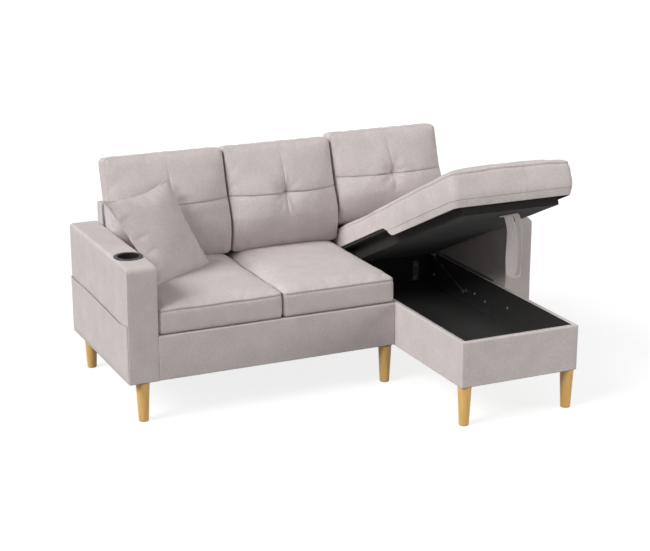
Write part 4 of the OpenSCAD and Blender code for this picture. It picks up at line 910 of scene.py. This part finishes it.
# Pull strap: one band of the cover fabric, stitched lengthwise and bent into a loop round a finger
# gap. Its two ends are sewn together under the lid's lining, with a folded tab.
outside = [(0, 258), (9, 225), (15, 192), (14, 148), (13, 104), (14, 62), (17, 34), (28, 15), (44, 5),
           (62, 0), (77, 3), (83, 11), (86, 28), (86, 62), (86, 104), (86, 148), (86, 188), (80, 226),
           (67, 258)]
inside = [(37, 258), (47, 228), (58, 192), (64, 148), (69, 104), (69.5, 62), (65, 36), (59, 22), (58, 13),
          (65, 9), (74, 9), (79, 15), (82, 28), (82, 62), (79.5, 104), (74, 148), (65, 192), (52, 229),
          (39.5, 258)]
strap_top, strap_wall = 258, 0.0042
lo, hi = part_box("pull_strap")
lengthwise = np.linspace(0, len(outside) - 1, 109)
crosswise = [0, 0.04, 0.10, 0.15, 0.20, 0.32, 0.46, 0.52, 0.57, 0.62, 0.68, 0.82, 0.88, 0.93, 1]


def smooth_line(line):
    """A line of points drawn smoothly through its stations."""
    whole = np.clip(lengthwise.astype(int), 0, len(line) - 2)
    part = (lengthwise - whole)[:, None]
    line = np.array(line, float)
    slope = np.gradient(line, axis=0)
    start, end = line[whole] * (1 + 2 * part) * (1 - part) ** 2, line[whole + 1] * part ** 2 * (3 - 2 * part)
    leave, arrive = slope[whole] * part * (1 - part) ** 2, slope[whole + 1] * part ** 2 * (1 - part)
    return start + end + leave - arrive


outer_line, inner_line = smooth_line(outside), smooth_line(inside)
bm, band = grid(range(len(lengthwise)), crosswise)
for v, at, share in band:
    x, z = outer_line[at] + (inner_line[at] - outer_line[at]) * share
    # The stitch lines here only pull the band in; no shade is painted on the strap.
    stitch_lines_and_painted_shade = sum(math.exp(-((share - line) / 0.022) ** 2) for line in (0.12, 0.57, 0.90))
    cupped = 0.0012 * math.sin(math.pi * share) - 0.0011 * stitch_lines_and_painted_shade
    sway = 0.0016 * math.sin(z / 38) + (0.0014 if at > len(lengthwise) / 2 else -0.0004)
    v.co = (lo.x + x / 1000, lo.y + 0.0004 - cupped + sway, hi.z - 0.0025 - (strap_top - z) / 1000)
bmesh.ops.solidify(bm, geom=bm.faces[:], thickness=strap_wall)
tab = bmesh.ops.create_cube(bm, size=1.0)["verts"]
for v in tab:
    v.co = (lo.x + 0.022 + v.co.x * 0.082, lo.y + 0.0028 + v.co.y * 0.0040,
            hi.z - 0.0045 + v.co.z * 0.0055 + v.co.x * 0.004)
bmesh.ops.bevel(bm, geom=[e for e in bm.edges if e.verts[0] in tab], offset=0.0012, offset_type="OFFSET",
                segments=2, profile=0.5, affect="EDGES", material=-1)
bmesh.ops.recalc_face_normals(bm, faces=bm.faces)
put("lid_pull_strap", bm, fabric, "pull_strap", ["pull_strap"])


# Studio: a pale floor that keeps the sofa's shadow and a white surround, lit by a broad soft light
# from the upper left, a weaker one from the right and a card low in front. The camera stands where
# the photograph has it.
def background_rays(wiring):
    """1 or more for the rays that see the background, 0 for those that light the sofa."""
    rays = ("Is Camera Ray", "Is Glossy Ray", "Is Transmission Ray")
    return sum(wiring.node("LightPath", {}, {}, ray) for ray in rays)


def place_lamp(name, light, towards, at=(0, 0, 0)):
    lamp = bpy.data.objects.new(name, light)
    bpy.context.scene.collection.objects.link(lamp)
    lamp.location = at
    lamp.rotation_mode = "QUATERNION"
    lamp.rotation_quaternion = Vector(towards).to_track_quat("Z", "Y")
    return lamp


floor_finish = Finish("studio_floor", Roughness=1.0, Base_Color=(0.24, 0.24, 0.24, 1), Specular_IOR_Level=0.0)
seen = background_rays(floor_finish)
glow = floor_finish.node("Emission", {}, {"Color": (1, 1, 1, 1), "Strength": 0.83})
lit = Strand(floor_finish, floor_finish.shader.outputs[0])
both = floor_finish.node("AddShader", {}, {0: lit, 1: glow})
mixed = floor_finish.node("MixShader", {}, {0: seen, 1: lit, 2: both})
floor_finish.tree.links.new(mixed.socket, floor_finish.tree.nodes["Material Output"].inputs["Surface"])
bm = bmesh.new()
bmesh.ops.create_grid(bm, x_segments=2, y_segments=2, size=20.0)
mesh = bpy.data.meshes.new("floor")
bm.to_mesh(mesh)
bm.free()
mesh.materials.append(floor_finish.material)
floor = bpy.data.objects.new("floor", mesh)
bpy.context.scene.collection.objects.link(floor)

world = bpy.data.worlds.new("surround")
bpy.context.scene.world = world
world.use_nodes = True
surround = Wiring(world.node_tree)
backdrop = surround.tree.nodes["Background"]
backdrop.inputs["Color"].default_value = (1, 1, 1, 1)
level = surround.node("MapRange", {}, {"Value": background_rays(surround), "To Min": 0.31, "To Max": 1.0})
surround.tree.links.new(level.socket, backdrop.inputs["Strength"])

warm = (1.0, 0.985, 0.955)
for name, colour, energy, spread, towards in (("soft_key", (1, 1, 1), 2.95, 30, (-0.77, -0.12, 0.63)),
                                              ("soft_fill", warm, 1.05, 35, (0.78, -0.60, 0.20))):
    sun = bpy.data.lights.new(name, "SUN")
    sun.color = colour
    sun.energy = energy
    sun.angle = math.radians(spread)
    place_lamp(name, sun, towards)

card = bpy.data.lights.new("front_card", "AREA")
card.color = warm
card.energy = 3.2
card.size = 1.0
place_lamp("front_card", card, (0.45, -1.46, 0.20), (0.95, -2.1, 0.45)).visible_camera = False

lens = bpy.data.cameras.new("camera")
lens.lens = 91.1
lens.sensor_width = 36
lens.clip_end = 100
camera = bpy.data.objects.new("camera", lens)
bpy.context.scene.collection.objects.link(camera)
forward = Vector((0.40271, 0.86877, -0.28820))
right = Vector((0.9073, -0.4206, 0)).normalized()
upward = right.cross(forward).normalized()
view_turn = Matrix((right, upward, -forward.normalized())).transposed().to_4x4()
camera.matrix_world = Matrix.Translation((-2.6492, -5.6719, 2.3442)) @ view_turn
bpy.context.scene.camera = camera
bpy.context.scene.view_settings.view_transform = "Standard"
